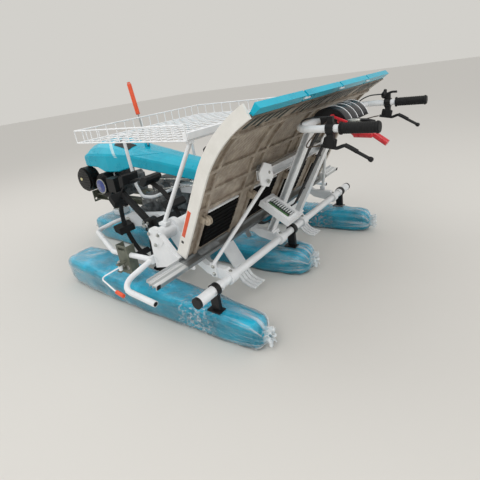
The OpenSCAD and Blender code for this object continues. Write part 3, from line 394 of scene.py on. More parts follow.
def joined(objs):
    clearSelection()
    for o in objs:
        o.select_set(True)
    bpy.context.view_layer.objects.active = objs[0]
    if len(objs) > 1:
        bpy.ops.object.join()
    return objs[0]


def faceOutwards(obj):
    take(obj)
    bpy.ops.object.mode_set(mode="EDIT")
    bpy.ops.mesh.select_all(action="SELECT")
    bpy.ops.mesh.normals_make_consistent(inside=False)
    bpy.ops.object.mode_set(mode="OBJECT")


def softBox(centre, size, edge=0.0015, turn=(0, 0, 0)):  # block with rounded edges, turned in degrees
    clearSelection()
    bpy.ops.mesh.primitive_cube_add(size=1, location=centre, rotation=[math.radians(a) for a in turn])
    obj = bpy.context.object
    obj.scale = size
    bpy.ops.object.transform_apply(location=False, rotation=False, scale=True)
    addModifier(obj, "BEVEL", width=edge, segments=2, limit_method="ANGLE")
    return obj


def turnedPart(base, axis, profile, sides=24):  # profile: (distance along axis, radius) pairs, spun
    clearSelection()
    along = Vector(axis).normalized()
    bpy.ops.mesh.primitive_circle_add(vertices=sides, radius=profile[0][1], fill_type="NGON")
    obj = bpy.context.object
    bpy.ops.object.mode_set(mode="EDIT")
    bpy.ops.mesh.select_all(action="SELECT")
    bpy.ops.transform.translate(value=(0, 0, profile[0][0]))
    for (before, wide), (after, nextWide) in zip(profile, profile[1:]):
        bpy.ops.mesh.extrude_region_move(TRANSFORM_OT_translate={"value": (0, 0, after - before)})
        factor = nextWide / wide
        bpy.ops.transform.resize(value=(factor, factor, 1), center_override=(0, 0, after))
    bpy.ops.mesh.select_all(action="SELECT")
    bpy.ops.mesh.normals_make_consistent(inside=False)
    bpy.ops.object.mode_set(mode="OBJECT")
    obj.rotation_mode = "QUATERNION"
    obj.rotation_quaternion = along.to_track_quat("Z", "Y")
    obj.location = base
    return obj


def roundCurve(name, points, radius, rounded, stepsAlong, stepsRound):  # curve with a round section
    curve = bpy.data.curves.new(name, "CURVE")
    curve.dimensions = "3D"
    spline = curve.splines.new("BEZIER" if rounded else "POLY")
    store = spline.bezier_points if rounded else spline.points
    store.add(len(points) - 1)
    for dot, place in zip(store, points):
        if rounded:
            dot.co = place
            dot.handle_left_type = dot.handle_right_type = "AUTO"
        else:
            dot.co = (*place, 1)
    spline.resolution_u = stepsAlong
    curve.bevel_depth = radius
    curve.bevel_resolution = stepsRound
    curve.use_fill_caps = True
    obj = bpy.data.objects.new(name, curve)
    bpy.context.scene.collection.objects.link(obj)
    return obj


def tube(points, radius, rounded=True, sides=10):  # bent tube or rod as a mesh
    take(roundCurve("tube", points, radius, rounded, 8, max(1, sides // 4 - 1)))
    bpy.ops.object.convert(target="MESH")
    return bpy.context.object


def boltHeads(spots):  # each spot: place on the surface, outward direction, width across flats
    made = []
    for place, outward, flats in spots:
        made.append(turnedPart(place, outward, [(-0.001, flats * 0.85), (0.0012, flats * 0.85),
            (0.0018, flats * 0.75)], 16))
        made.append(turnedPart(place, outward, [(0.001, flats * 0.577), (flats * 0.5, flats * 0.577),
            (flats * 0.62, flats * 0.47)], 6))
    return joined(made)


def surfaceOf(node):  # search tree over a CAD node's own mesh
    mesh = node.data
    return BVHTree.FromPolygons([v.co for v in mesh.vertices], [tuple(p.vertices) for p in mesh.polygons])


def mm(*place):  # millimetres of the CAD frame to metres
    return tuple(v / 1000 for v in place)


def sided(place, side):  # mirror of a point for the side -1 or 1
    return (side * place[0], place[1], place[2])


bothSides = ((-1, "left"), (1, "right"))

# The platform's front edge line, as in the CAD: a straight slope, then an arch
platform = {"y": -0.386, "z": 0.348, "slope": 61, "straight": 0.359, "radius": 0.520, "back": -0.024,
            "rowXs": (-0.45, -0.15, 0.15, 0.45)}


def onPlatform(s, n):  # s along the line from its foot, n out of it
    lean = math.radians(platform["slope"])
    if s <= platform["straight"]:
        return (platform["y"] - s * math.cos(lean) + n * math.sin(lean),
            platform["z"] + s * math.sin(lean) + n * math.cos(lean))
    r = platform["radius"]
    bendY = platform["y"] - platform["straight"] * math.cos(lean) - r * math.sin(lean)
    bendZ = platform["z"] + platform["straight"] * math.sin(lean) - r * math.cos(lean)
    turn = lean - (s - platform["straight"]) / r
    return bendY + (r + n) * math.sin(turn), bendZ + (r + n) * math.cos(turn)


def arcPart(x0, x1, points, thick, edge=0.0004, drift=0):
    # sheet carried sideways along a line of (y, z) points, thickened and rounded at its edges
    clearSelection()
    bpy.ops.mesh.primitive_grid_add(x_subdivisions=3, y_subdivisions=len(points) - 1, size=1)
    obj = bpy.context.object
    rows = sorted({round(v.co.y, 5) for v in obj.data.vertices})
    for v in obj.data.vertices:
        share = v.co.x + 0.5
        y, z = points[rows.index(round(v.co.y, 5))]
        v.co = (x0 + share * (x1 - x0) + drift * v.co.y, y, z)
    addModifier(obj, "SOLIDIFY", thickness=thick, offset=0)
    addModifier(obj, "BEVEL", width=edge, segments=2, limit_method="ANGLE")
    faceOutwards(obj)
    return obj


# Platform: white strips along the windows' upper edges as painted highlights, belt pulleys, the teal flaps
# behind the feed slots, dark strips over the slots as their painted shade, tabs and the label
deck = {
    "edgeS": 0.207, "edge": (0.192, 0.0055, 0.014),
    "pulleyS": 0.186, "pulleyN": -0.046, "pulleyOff": -0.123,
    "pulley": [(0, 0.008), (0.001, 0.010), (0.005, 0.0105), (0.006, 0.018), (0.009, 0.019),
               (0.0105, 0.0140), (0.017, 0.0135), (0.0185, 0.0185), (0.0215, 0.018),
               (0.0225, 0.009), (0.027, 0.0085), (0.028, 0.004)],
    "fork": (0.006, 0.030, 0.024),
    "flapRun": (0.592, 0.664), "flapN": -0.0142, "flapWide": 0.284, "flapThick": 0.002,
    "slotRuns": ((0.598, 0.666), (0.606, 0.668), (0.586, 0.662), (0.600, 0.668), (0.612, 0.668),
                 (0.592, 0.664)),
    "slotStep": 0.042, "slotWide": 0.0200, "slotThick": 0.0010, "slotDrift": 0.016,
    "tabXs": (-0.29, 0.01, 0.31), "tabY": -0.812, "tabZ": 0.8715, "tab": (0.044, 0.022, 0.009),
    "labelAt": mm(-610.25, -451.5, 484), "label": (0.0007, 0.125, 0.0165),
    "markAt": mm(-610.25, -411, 405), "mark": (0.0007, 0.011, 0.012),
}


def platformRun(ends, n, steps):  # points of the platform's line between two distances
    return [onPlatform(ends[0] + (ends[1] - ends[0]) * k / steps, n) for k in range(steps + 1)]


slopeTurn = (-platform["slope"], 0, 0)
edges, pulleys, slots = [], [], []
for row, rowX in enumerate(platform["rowXs"], 1):
    # a white strip along each window's upper edge: painted highlight
    y, z = onPlatform(deck["edgeS"], platform["back"] - 0.0005)
    edges.append(softBox((rowX, y, z), deck["edge"], 0.0012, slopeTurn))
    x = rowX + deck["pulleyOff"]
    y, z = onPlatform(deck["pulleyS"], deck["pulleyN"])
    pulleys.append(turnedPart((x, y, z), (1, 0, 0), deck["pulley"], 32))
    pulleys.append(softBox((x - 0.003, y + 0.010, z + 0.005), deck["fork"], 0.003, slopeTurn))
    # dark green strips laid over the feed slots: painted shade
    for k, span in enumerate(deck["slotRuns"]):
        x = rowX + (k - 2.5) * deck["slotStep"]
        run = platformRun(span, platform["back"] - 0.0006, 8)
        slots.append(arcPart(x, x + deck["slotWide"], run, deck["slotThick"], 0.0003, deck["slotDrift"]))
    half = deck["flapWide"] / 2
    run = platformRun(deck["flapRun"], deck["flapN"], 6)
    flap = arcPart(rowX - half, rowX + half, run, deck["flapThick"])
    settle(flap, "slot_flap_%d" % row, "tealAbs", 40, "platform")
settle(joined(edges), "window_edge_highlights", "whiteWireCoat", 40, "platform")
settle(joined(pulleys), "belt_pulleys", "agedNylon", 40, "platform")
settle(joined(slots), "feed_slot_shade", "darkGreenSheet", 30, "platform", "teal_plastic")
tabs = [softBox((x, deck["tabY"], deck["tabZ"]), deck["tab"], 0.002, (-8, 0, 0)) for x in deck["tabXs"]]
settle(joined(tabs), "extension_tabs", "whitePowderCoat", 40, "platform")
settle(softBox(deck["labelAt"], deck["label"], 0.0003, slopeTurn), "rail_label", "orangeLabel", 30,
    "platform")
settle(softBox(deck["markAt"], deck["mark"], 0.0003, slopeTurn), "rail_mark", "blackNylon", 30, "platform")
print("platform pieces")

# Console: glossy curved covers with pale beads between them and short ones on them
console = {
    "y": -0.812, "z": 0.734, "radius": 0.0775, "from": 44, "to": 165, "thick": 0.0028, "edge": 0.0009,
    "seams": (-0.119, -0.065, -0.005, 0.055, 0.112), "gap": 0.0016, "bead": 0.0018,
    "shortBeads": ((-0.035, 70, 92), (0.025, 96, 118), (0.083, 72, 98)), "shortBead": 0.0008,
}


def consoleArc(radius, low, high, steps):
    turns = [math.radians(low + (high - low) * k / steps) for k in range(steps + 1)]
    return [(console["y"] + radius * math.cos(a), console["z"] + radius * math.sin(a)) for a in turns]


def consoleBead(x, lift, low, high, steps, radius):
    run = consoleArc(console["radius"] + lift, low, high, steps)
    return tube([(x, y, z) for y, z in run], radius, False, 8)


for k, (left, right) in enumerate(zip(console["seams"], console["seams"][1:])):
    run = consoleArc(console["radius"], console["from"] + 3 * (k % 2), console["to"], 18)
    cover = arcPart(left + console["gap"], right - console["gap"], run, console["thick"], console["edge"])
    settle(cover, "console_cover_%d" % (k + 1), "glossBlack", 40)
beads = [consoleBead(x, 0.0008, console["from"], console["to"], 18, console["bead"])
    for x in console["seams"][1:]]
beads += [consoleBead(x, 0.0012, low, high, 6, console["shortBead"])
    for x, low, high in console["shortBeads"]]
settle(joined(beads), "console_beads", "whiteWireCoat", 60)
print("console pieces")

# Handle: ribbed sleeves over the grips, clamps, stub levers, lever bodies and their cables
grip = {"x": 0.313, "z": 0.768, "from": -1.067, "to": -0.953, "radius": 0.0172, "rib": 0.0011,
        "pitch": 0.0075}
profile = [(0, 0.012), (0.001, 0.0195), (0.006, 0.0200), (0.008, grip["radius"])]
for k in range(1, int((grip["to"] - grip["from"]) / grip["pitch"])):
    start = k * grip["pitch"] + 0.002
    profile += [(start, grip["radius"]), (start + 0.0012, grip["radius"] + grip["rib"]),
        (start + 0.0042, grip["radius"] + grip["rib"]), (start + 0.0054, grip["radius"])]
for side, label in bothSides:
    settle(turnedPart((side * grip["x"], grip["from"], grip["z"]), (0, 1, 0), profile, 28),
        "grip_sleeve_" + label, "blackRubber", 35)

clamps = {
    "knobAt": mm(313, -894, 803),
    "knob": [(-0.016, 0.006), (-0.013, 0.010), (-0.006, 0.0135), (0.002, 0.014), (0.009, 0.0115),
             (0.013, 0.008), (0.020, 0.007), (0.024, 0.0052)],
    "stubRightRadius": 0.005, "stubLeftRadius": 0.0055,
    "stubRight": [mm(313, -906, 806), mm(313, -925, 812), mm(312, -948, 812)],
    "baseAt": mm(-289, -982, 785), "base": (0.020, 0.042, 0.016),
    "stubLeft": [mm(-289, -996, 788), mm(-286, -1020, 786), mm(-284, -1045, 780)],
}
knob = turnedPart(clamps["knobAt"], (0, -0.2, 1), clamps["knob"], 24)
settle(knob, "clamp_knob_right", "blackNylon", 40)
settle(tube(clamps["stubRight"], clamps["stubRightRadius"], True, 12), "stub_lever_right", "blackNylon", 60)
settle(softBox(clamps["baseAt"], clamps["base"], 0.004), "clamp_base_left", "zincPlate", 40)
settle(tube(clamps["stubLeft"], clamps["stubLeftRadius"], True, 12), "stub_lever_left", "blackNylon", 60)

leverBody = {
    "webAt": mm(313, -904.5, 722.5), "web": (0.015, 0.046, 0.030),
    "ballAt": mm(307, -1036, 665.5),
    "ball": [(-0.006, 0.0062), (-0.002, 0.0080), (0.003, 0.0088), (0.008, 0.0072), (0.010, 0.003)],
    "neckRadius": 0.0078,
    "neck": (mm(311, -955, 712.5), mm(310.3, -972, 704), mm(309.4, -996, 690)),
}
for side, label in bothSides:
    body = [softBox(sided(leverBody["webAt"], side), leverBody["web"], 0.005, (12, 0, 0)),
        turnedPart(sided(leverBody["ballAt"], side), (0, -0.87, -0.5), leverBody["ball"], 20),
        tube([sided(p, side) for p in leverBody["neck"]], leverBody["neckRadius"], True, 14)]
    settle(joined(body), "brake_lever_body_" + label, "blackNylon", 50)


def freeCord(name, points, radius, material):
    # a cable or hose through given points, which goes back into the object at its far end
    obj = roundCurve(name, points, radius, True, 10, 3)
    coat(obj, finish[material])
    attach(obj, "machine")


brakeCable = [(313, -862, 806), (312, -835, 805), (309, -820, 802), (303, -806, 797), (294, -794, 790),
    (282, -785, 781), (268, -779, 771), (252, -777, 761), (236, -778, 752), (220, -781, 745),
    (204, -786, 741), (189, -792, 740), (175, -799, 742), (161, -805, 746), (148, -810, 751),
    (136, -814, 756), (124, -817, 760)]
clutchCable = [(313, -868, 711), (311, -846, 708), (304, -824, 704), (296, -813, 702), (286, -803, 700),
    (275, -795, 700), (263, -789, 701), (250, -785, 703), (237, -783, 707), (224, -783, 712),
    (211, -785, 718), (198, -788, 725), (185, -792, 732), (172, -797, 740), (160, -802, 748),
    (148, -806, 754), (136, -810, 759), (124, -813, 763)]
cordRadius = {"brakeCable": 0.0028, "clutchCable": 0.0025, "fuelHose": 0.0035, "plugLead": 0.003}
brakeExits = {"left": (313, -899, 806), "right": (313, -882, 806)}  # the clamp itself, and the knob on it
for side, label in bothSides:
    brakeRoute = [sided(mm(*p), side) for p in [brakeExits[label]] + brakeCable]
    clutchRoute = [sided(mm(*p), side) for p in clutchCable]
    freeCord("brake_cable_" + label, brakeRoute, cordRadius["brakeCable"], "blackSheath")
    freeCord("clutch_cable_" + label, clutchRoute, cordRadius["clutchCable"], "brownSheath")
print("handle pieces")

# Lever guide: a rounded rim round the recess and the comb of catches inside it
guide = {
    "at": mm(-205, -606, 409), "slope": 31, "top": 0.014, "halfX": 0.036, "halfY": 0.062, "corner": 0.010,
    "rim": 0.0052, "floorAt": (0, 0, 0.0089), "floor": (0.0585, 0.1095, 0.0012),
    "stripAt": (-0.0180, 0, 0.0106), "strip": (0.0130, 0.1040, 0.0026),
    "catches": 10, "catchPitch": 0.0111, "catchFirst": (0.0140, -0.0500, 0.0122),
    "catch": (0.0290, 0.0052, 0.0054),
}


def onGuide(x, y, z):
    a = math.radians(guide["slope"])
    gx, gy, gz = guide["at"]
    return (gx + x, gy + y * math.cos(a) - z * math.sin(a), gz + y * math.sin(a) + z * math.cos(a))


def roundedLoop(halfX, halfY, radius, z, steps=5):
    spots = []
    for cornerX, cornerY, first in ((1, 1, 0), (-1, 1, 90), (-1, -1, 180), (1, -1, 270)):
        for k in range(steps + 1):
            a = math.radians(first + 90 * k / steps)
            spots.append(onGuide(cornerX * (halfX - radius) + radius * math.cos(a),
                cornerY * (halfY - radius) + radius * math.sin(a), z))
    return spots + spots[:1]


guideTurn = (guide["slope"], 0, 0)
rim = roundedLoop(guide["halfX"], guide["halfY"], guide["corner"], guide["top"])
settle(tube(rim, guide["rim"], False, 16), "guide_rim", "whitePowderCoat", 60)
# the recess floor, dark green as painted shade
settle(softBox(onGuide(*guide["floorAt"]), guide["floor"], 0.0004, guideTurn), "guide_floor",
    "darkGreenSheet", 30)
x, y, z = guide["catchFirst"]
catches = [softBox(onGuide(x, y + k * guide["catchPitch"], z), guide["catch"], 0.0012, guideTurn)
    for k in range(guide["catches"])]
strip = softBox(onGuide(*guide["stripAt"]), guide["strip"], 0.0010, guideTurn)
settle(strip, "guide_strip", "leafGreen", 30)
settle(joined(catches), "guide_comb", "whitePowderCoat", 40)
print("lever guide pieces")

# Bolts: each spot is a place on the surface, the outward direction and the width across flats
mirroredBolts = [
    (mm(279, -616, 560), (0, -1, 0), 0.011), (mm(258, -610, 592), (0, -1, 0), 0.008),
    (mm(522.4, -461, 262), (1, 0, 0), 0.010), (mm(522.4, -461, 228), (1, 0, 0), 0.010),
    (mm(502, -534, 247), (0, -0.35, 0.94), 0.009), (mm(112, -534, 247), (0, -0.35, 0.94), 0.009),
    (mm(609, -185, 293), (0, 1, 0), 0.013), (mm(624, -16, 215), (1, 0, 0), 0.012),
    (mm(624, 24, 215), (1, 0, 0), 0.012), (mm(652, 4, 254), (0, 0, 1), 0.010),
    (mm(99, 486, 272), (1, 0, -0.1), 0.010), (mm(100, 620, 306), (1, 0, 0), 0.012),
    (mm(100, 860, 306), (1, 0, 0), 0.012), (mm(60, 1018, 326), (0, 1, 0), 0.014),
    (mm(60, 1018, 300), (0, 1, 0), 0.014), (mm(133, -561, 395), (0, -0.87, -0.5), 0.012),
]
mirroredBolts += [(mm(96, y, z), (1, 0, 0), 0.010) for y in (215, 345, 480) for z in (235, 330)]
mirroredBolts += [(mm(70, y, 435), (1, 0, 0), 0.010) for y in (215, 385)]
wheel = {
    "axle": (0.367, 0.136, 0.300), "boltCircle": 0.024,
    "end": [(-0.002, 0.0125), (0.001, 0.014), (0.004, 0.014), (0.006, 0.0115), (0.0065, 0.004)],
    "endOut": 0.012,
}
swing = {
    "capAt": (0.257, 0.420, 0.258), "capOut": 0.0225,
    "cap": [(-0.001, 0.026), (0.002, 0.026), (0.004, 0.022), (0.0045, 0.010)],
    "gearbox": (0.6182, -0.250, 0.400), "boltCircle": 0.032,
}


def boltCircle(centre, radius, first, count):  # places round an axis along X
    turns = [math.radians(first + 360 * k / count) for k in range(count)]
    return [(centre[0], centre[1] + radius * math.cos(a), centre[2] + radius * math.sin(a)) for a in turns]


mirroredBolts += [(p, (1, 0, 0), 0.010) for p in boltCircle(swing["gearbox"], swing["boltCircle"], 30, 3)]
fasteners = mirroredBolts + [(sided(p, -1), sided(d, -1), w) for p, d, w in mirroredBolts]
settle(boltHeads(fasteners), "machine_bolts", "zincPlate", 30)
for side, label in bothSides:
    wheelBody = "wheel_%s_body" % label
    x, y, z = wheel["axle"]
    spots = [(p, (side, 0, 0), 0.010) for p in boltCircle((side * x, y, z), wheel["boltCircle"], 45, 4)]
    settle(boltHeads(spots), "hub_bolts_" + label, "zincPlate", 30, wheelBody)
    settle(turnedPart((side * (x + wheel["endOut"]), y, z), (side, 0, 0), wheel["end"], 24),
        "axle_end_" + label, "zincPlate", 40, wheelBody)
    x, y, z = swing["capAt"]
    settle(turnedPart((side * (x + swing["capOut"]), y, z), (side, 0, 0), swing["cap"], 32),
        "swing_cap_" + label, "zincPlate", 40, "swing_" + label)
print("fasteners")

# Rails and tubes: painted highlight strips and the corner clip on the lower rail's ends, black tube mouths,
# sleeves on the markers' ends
rail = {
    "y": -0.415, "z": 0.322, "tilt": 14,
    "bandX": 0.7145, "bandLong": 0.160, "bandThick": 0.0012, "highlightBands": ((-0.0165, 0.016), (0.0130, 0.020)),
    "clipAt": (0.786, -0.0285, -0.004), "clip": (0.016, 0.0035, 0.018),
}
tubeEnds = {
    "guardAt": (0.768, -0.370, 0.208), "guardWay": (0, -0.9967, -0.0815),
    "guard": [(-0.002, 0.0098), (0.0004, 0.0098), (0.0007, 0.0092), (0.0009, 0.003)],
    "markerAt": (0.738, -0.060, 0.162), "markerWay": (0.0562, -0.9923, -0.1124),
    "marker": [(-0.003, 0.0062), (0, 0.0086), (0.004, 0.0092), (0.044, 0.0090), (0.050, 0.0092),
               (0.0545, 0.0078), (0.0555, 0.004)],
    "poleTip": (0, 0.489, 1.029), "poleWay": (0, 0.045, 0.373), "poleLong": 0.192,
    "pole": [(0, 0.0085), (0.002, 0.0118), (0.006, 0.0126), (0.090, 0.0124), (0.176, 0.0125),
             (0.182, 0.0118), (0.184, 0.0095), (0.1895, 0.0092), (0.1912, 0.0075)],
}


def onRail(x, u, n):
    tilt = math.radians(rail["tilt"])
    return (x, rail["y"] + u * math.cos(tilt) - n * math.sin(tilt),
        rail["z"] + u * math.sin(tilt) + n * math.cos(tilt))


railTurn = (rail["tilt"], 0, 0)
for side, label in bothSides:
    # light strips on the rail's outer ends: painted highlight
    highlightBands = [softBox(onRail(side * rail["bandX"], u, -0.0003), (rail["bandLong"], wide, rail["bandThick"]),
        0.0004, railTurn) for u, wide in rail["highlightBands"]]
    settle(joined(highlightBands), "rail_highlight_bands_" + label, "brightAluminium", 40)
    settle(softBox(onRail(*sided(rail["clipAt"], side)), rail["clip"], 0.001, railTurn),
        "rail_clip_" + label, "blackNylon", 40)
    settle(turnedPart(sided(tubeEnds["guardAt"], side), tubeEnds["guardWay"], tubeEnds["guard"], 28),
        "guard_mouth_" + label, "blackNylon", 40)
    settle(turnedPart(sided(tubeEnds["markerAt"], side), sided(tubeEnds["markerWay"], side),
        tubeEnds["marker"], 20), "marker_grip_" + label, "orangeVinyl", 50, "marker_" + label)
poleWay = Vector(tubeEnds["poleWay"]).normalized()
poleStart = Vector(tubeEnds["poleTip"]) - tubeEnds["poleLong"] * poleWay
settle(turnedPart(poleStart, poleWay, tubeEnds["pole"], 28), "pole_grip", "orangeVinyl", 50, "pole")
print("rail, guard and marker pieces")


# Bonnet: tape and the dark cover round the pole, pressed onto the bonnet's own surface, and a
# bead along its side
bonnetTree = surfaceOf(nodes["bonnet"])
bonnet = {
    "tape": (mm(-151, 581, 612), mm(-151, 609, 612), mm(-66, 729, 690), mm(-66, 701, 690)),
    "tapeThick": 0.0003,
    "cover": (mm(-92, 512, 640), mm(-30, 512, 660), mm(-30, 652, 690), mm(-92, 652, 670)),
    "coverThick": 0.0022,
    "lift": 0.0006, "beadZ": 0.614, "beadFrom": 0.02, "beadStep": 0.031, "bead": 0.0016,
}


def pressedSheet(corners, steps, thick, direction):
    # corners: four places on the surface in order; the sheet between them is laid onto the bonnet
    a, b, c, d = (Vector(p) for p in corners)
    clearSelection()
    bpy.ops.mesh.primitive_grid_add(x_subdivisions=steps[0], y_subdivisions=steps[1], size=1)
    obj = bpy.context.object
    way = Vector(direction).normalized()
    for v in obj.data.vertices:
        u, w = v.co.x + 0.5, v.co.y + 0.5
        aim = a.lerp(b, u).lerp(d.lerp(c, u), w)
        hit, normal = bonnetTree.ray_cast(aim + way * 0.3, -way)[:2]
        v.co = hit + normal * bonnet["lift"] if hit else aim
    addModifier(obj, "SOLIDIFY", thickness=thick, offset=1)
    faceOutwards(obj)
    return obj


settle(pressedSheet(bonnet["tape"], (4, 40), bonnet["tapeThick"], (-0.75, 0, 0.66)), "bonnet_tape",
    "clearTape", 40)
settle(pressedSheet(bonnet["cover"], (14, 22), bonnet["coverThick"], (-0.5, 0, 0.87)), "bonnet_cover",
    "blackNylon", 40)
beltline = []
for k in range(30):
    start = Vector((-0.4, bonnet["beadFrom"] + bonnet["beadStep"] * k, bonnet["beadZ"]))
    hit, normal = bonnetTree.ray_cast(start, Vector((1, 0, 0)))[:2]
    if hit:
        beltline.append(hit + normal * 0.0002)
for side, label in bothSides:
    settle(tube([(-side * p.x, p.y, p.z) for p in beltline], bonnet["bead"], False, 8),
        "bonnet_bead_" + label, "tealAbs", 60)
print("bonnet pieces")

# Engine: recoil disc and its louvres, silencer ribs and spot, carburettor, plug lead, fuel hose,
# shift linkage and the foot of the leaning channel
recoil = {
    "at": Vector((-0.1782, 0.783, 0.420)),
    "rim": [(-0.001, 0.050), (0.0018, 0.050), (0.0032, 0.0475), (0.0034, 0.043)],
    "disc": [(-0.001, 0.0435), (0.0008, 0.0435), (0.0016, 0.041), (0.0020, 0.012), (0.0032, 0.010),
             (0.0036, 0.004)],
    "louvres": 20, "louvreX": -0.1566, "louvreCircle": 0.066, "louvre": (0.0026, 0.015, 0.0042),
}
outLeft = Vector((-1, 0, 0))
settle(turnedPart(recoil["at"], outLeft, recoil["rim"], 48), "recoil_rim", "zincPlate", 40)
settle(turnedPart(recoil["at"] + 0.0034 * outLeft, outLeft, recoil["disc"], 48), "recoil_disc",
    "blueEnamel", 40)
louvres = []
for k in range(recoil["louvres"]):
    turn = 360 / recoil["louvres"] * k
    a = math.radians(turn)
    spot = (recoil["louvreX"], recoil["at"].y + recoil["louvreCircle"] * math.cos(a),
        recoil["at"].z + recoil["louvreCircle"] * math.sin(a))
    louvres.append(softBox(spot, recoil["louvre"], 0.001, (turn, 0, 0)))
settle(joined(louvres), "recoil_louvres", "blackNylon", 40)

silencer = {
    "faceAt": (-0.1885, 0.960, 0.456), "radius": 0.062, "ribStep": 0.018, "rib": (0.004, 0.005),
    "spotAt": mm(-190, 984, 462),
    "spot": [(-0.002, 0.011), (0.0012, 0.011), (0.0018, 0.0095), (0.002, 0.004)],
}
ribs = []
for k in range(-3, 4):
    x, y, z = silencer["faceAt"]
    rise = silencer["ribStep"] * k
    chord = 2 * (silencer["radius"] ** 2 - rise ** 2) ** 0.5
    ribs.append(softBox((x, y, z + rise), (silencer["rib"][0], chord, silencer["rib"][1]), 0.0015))
settle(joined(ribs), "silencer_ribs", "blackStovePaint", 40)
settle(turnedPart(silencer["spotAt"], outLeft, silencer["spot"], 24), "silencer_spot", "paleYellow", 40)

carburettor = {
    "at": mm(-96, 655, 446), "body": (0.030, 0.032, 0.042),
    "bowlAt": mm(-96, 655, 424),
    "bowl": [(0, 0.016), (0.004, 0.017), (0.018, 0.0165), (0.024, 0.012), (0.026, 0.005)],
    "inletAt": mm(-112, 650, 450), "inlet": [(0, 0.009), (0.006, 0.009), (0.0075, 0.007)],
}
parts = [softBox(carburettor["at"], carburettor["body"], 0.004),
         turnedPart(carburettor["bowlAt"], (0, 0, -1), carburettor["bowl"], 24),
         turnedPart(carburettor["inletAt"], outLeft, carburettor["inlet"], 18)]
settle(joined(parts), "carburettor", "castAluminium", 40)
fuelHose = [(-108, 655, 458), (-116, 655, 460), (-124, 654, 463), (-131, 653, 467), (-137, 652, 472),
    (-141, 652, 478), (-143, 653, 485), (-143, 655, 492), (-141, 658, 499), (-137, 661, 505),
    (-131, 665, 510), (-124, 669, 514), (-116, 674, 517), (-107, 678, 519), (-98, 682, 521)]
plugLead = [(-66, 742, 470), (-74, 738, 472), (-82, 733, 475), (-89, 727, 478), (-95, 720, 480),
    (-99, 712, 481), (-101, 703, 480), (-102, 694, 477), (-102, 686, 472), (-102, 679, 465),
    (-101, 673, 456), (-100, 669, 447), (-99, 667, 438), (-99, 667, 429), (-100, 669, 421)]
freeCord("fuel_hose", [mm(*p) for p in fuelHose], cordRadius["fuelHose"], "greyHose")
freeCord("plug_lead", [mm(*p) for p in plugLead], cordRadius["plugLead"], "blackSheath")

linkage = {  # radius of each rod and its route; the first rod carries the spring
    "rods": ((0.0040, ((-74, 392, 462), (-80, 350, 466), (-82, 200, 468), (-70, 60, 462), (-46, 14, 440))),
             (0.0032, ((-78, 300, 456), (-96, 240, 470), (-100, 150, 480), (-84, 40, 478))),
             (0.0035, ((-104, 420, 380), (-118, 330, 400), (-112, 210, 424), (-80, 60, 436),
                       (-30, 8, 440)))),
    "coils": 9, "coilAt": (-81.6, 236, 467.6), "coilPitch": 7,
    "coil": [(0, 0.0078), (0.0018, 0.0088), (0.0036, 0.0078)],
}
parts = [tube([mm(*p) for p in route], radius) for radius, route in linkage["rods"]]
for k in range(linkage["coils"]):
    x, y, z = linkage["coilAt"]
    parts.append(turnedPart(mm(x, y + linkage["coilPitch"] * k, z), (0, 1, 0), linkage["coil"], 18))
settle(joined(parts), "shift_linkage", "zincPlate", 50)
channelFoot = {"at": mm(0, 905, 172.6), "size": (0.0895, 0.0675, 0.0475), "edge": 0.004}
settle(softBox(channelFoot["at"], channelFoot["size"], channelFoot["edge"]), "channel_foot",
    "whitePowderCoat", 40)
print("engine pieces")

# Clear polyethylene bag film: all but invisible where it lies flat, with a gloss, and white in its creases,
# partly from stress whitening and partly as painted highlight; paler towards its silhouette as painted
# sheen
filmLook = {
    # creased: whiteness in the creases, partly painted highlight; rim: painted sheen towards the silhouette
    "colour": "#F4F8FA", "clear": 0.0, "creased": 0.9, "creaseMm": 40, "fineMm": 9, "rough": 0.12,
    "rim": 0.8,
}


def buildFilm(look):
    mat = newMaterial("clearPolyethyleneFilm")
    place = addNode(mat, "TexCoord").outputs["Object"]
    stretched = addNode(mat, "Mapping", {"Vector": place, "Scale": (1, 0.35, 1)})
    ridged = "RIDGED_MULTIFRACTAL"
    creases = patchy(mat, stretched, look["creaseMm"], 4.0, distortion=0.6, noise_type=ridged)
    fine = patchy(mat, place, look["fineMm"], 3.0, distortion=0.4, noise_type=ridged)
    both = maths(mat, "MULTIPLY_ADD", fine, 0.32, creases)
    whiteFilmAndHighlight = addNode(mat, "Attribute", attribute_name="whiteFilmAndHighlight")
    # creases whiten: partly stress whitening, partly painted highlight in place of their glints
    creaseWhiteAndHighlight = ranged(mat, both, 1.08, 1.34, look["clear"], look["creased"], interpolation_type="SMOOTHSTEP")
    # paler towards the silhouette: painted sheen in place of the film's grazing reflection
    grazing = addNode(mat, "LayerWeight", {"Blend": 0.5})
    steep = maths(mat, "POWER", grazing.outputs["Facing"], 4.0)
    rim = maths(mat, "MULTIPLY_ADD", steep, look["rim"], creaseWhiteAndHighlight)
    cover = maths(mat, "ADD", rim, whiteFilmAndHighlight.outputs["Fac"], use_clamp=True)
    bump = addNode(mat, "Bump", {"Strength": 1.0, "Distance": 0.010, "Height": both})
    fresnel = addNode(mat, "Fresnel", {"IOR": 1.45, "Normal": bump})
    edge = maths(mat, "MULTIPLY", fresnel, 0.9)
    through = addNode(mat, "BsdfTransparent")
    gloss = addNode(mat, "BsdfGlossy", {"Color": srgb(look["colour"]), "Roughness": look["rough"],
        "Normal": bump})
    clear = addNode(mat, "MixShader", {0: edge, 1: through, 2: gloss})
    white = addNode(mat, "BsdfPrincipled", {"Base Color": srgb(look["colour"]), "Roughness": 0.3,
        "IOR": 1.51, "Normal": bump})
    film = addNode(mat, "MixShader", {0: cover, 1: clear, 2: white})
    addNode(mat, "OutputMaterial", {"Surface": film})
    return mat


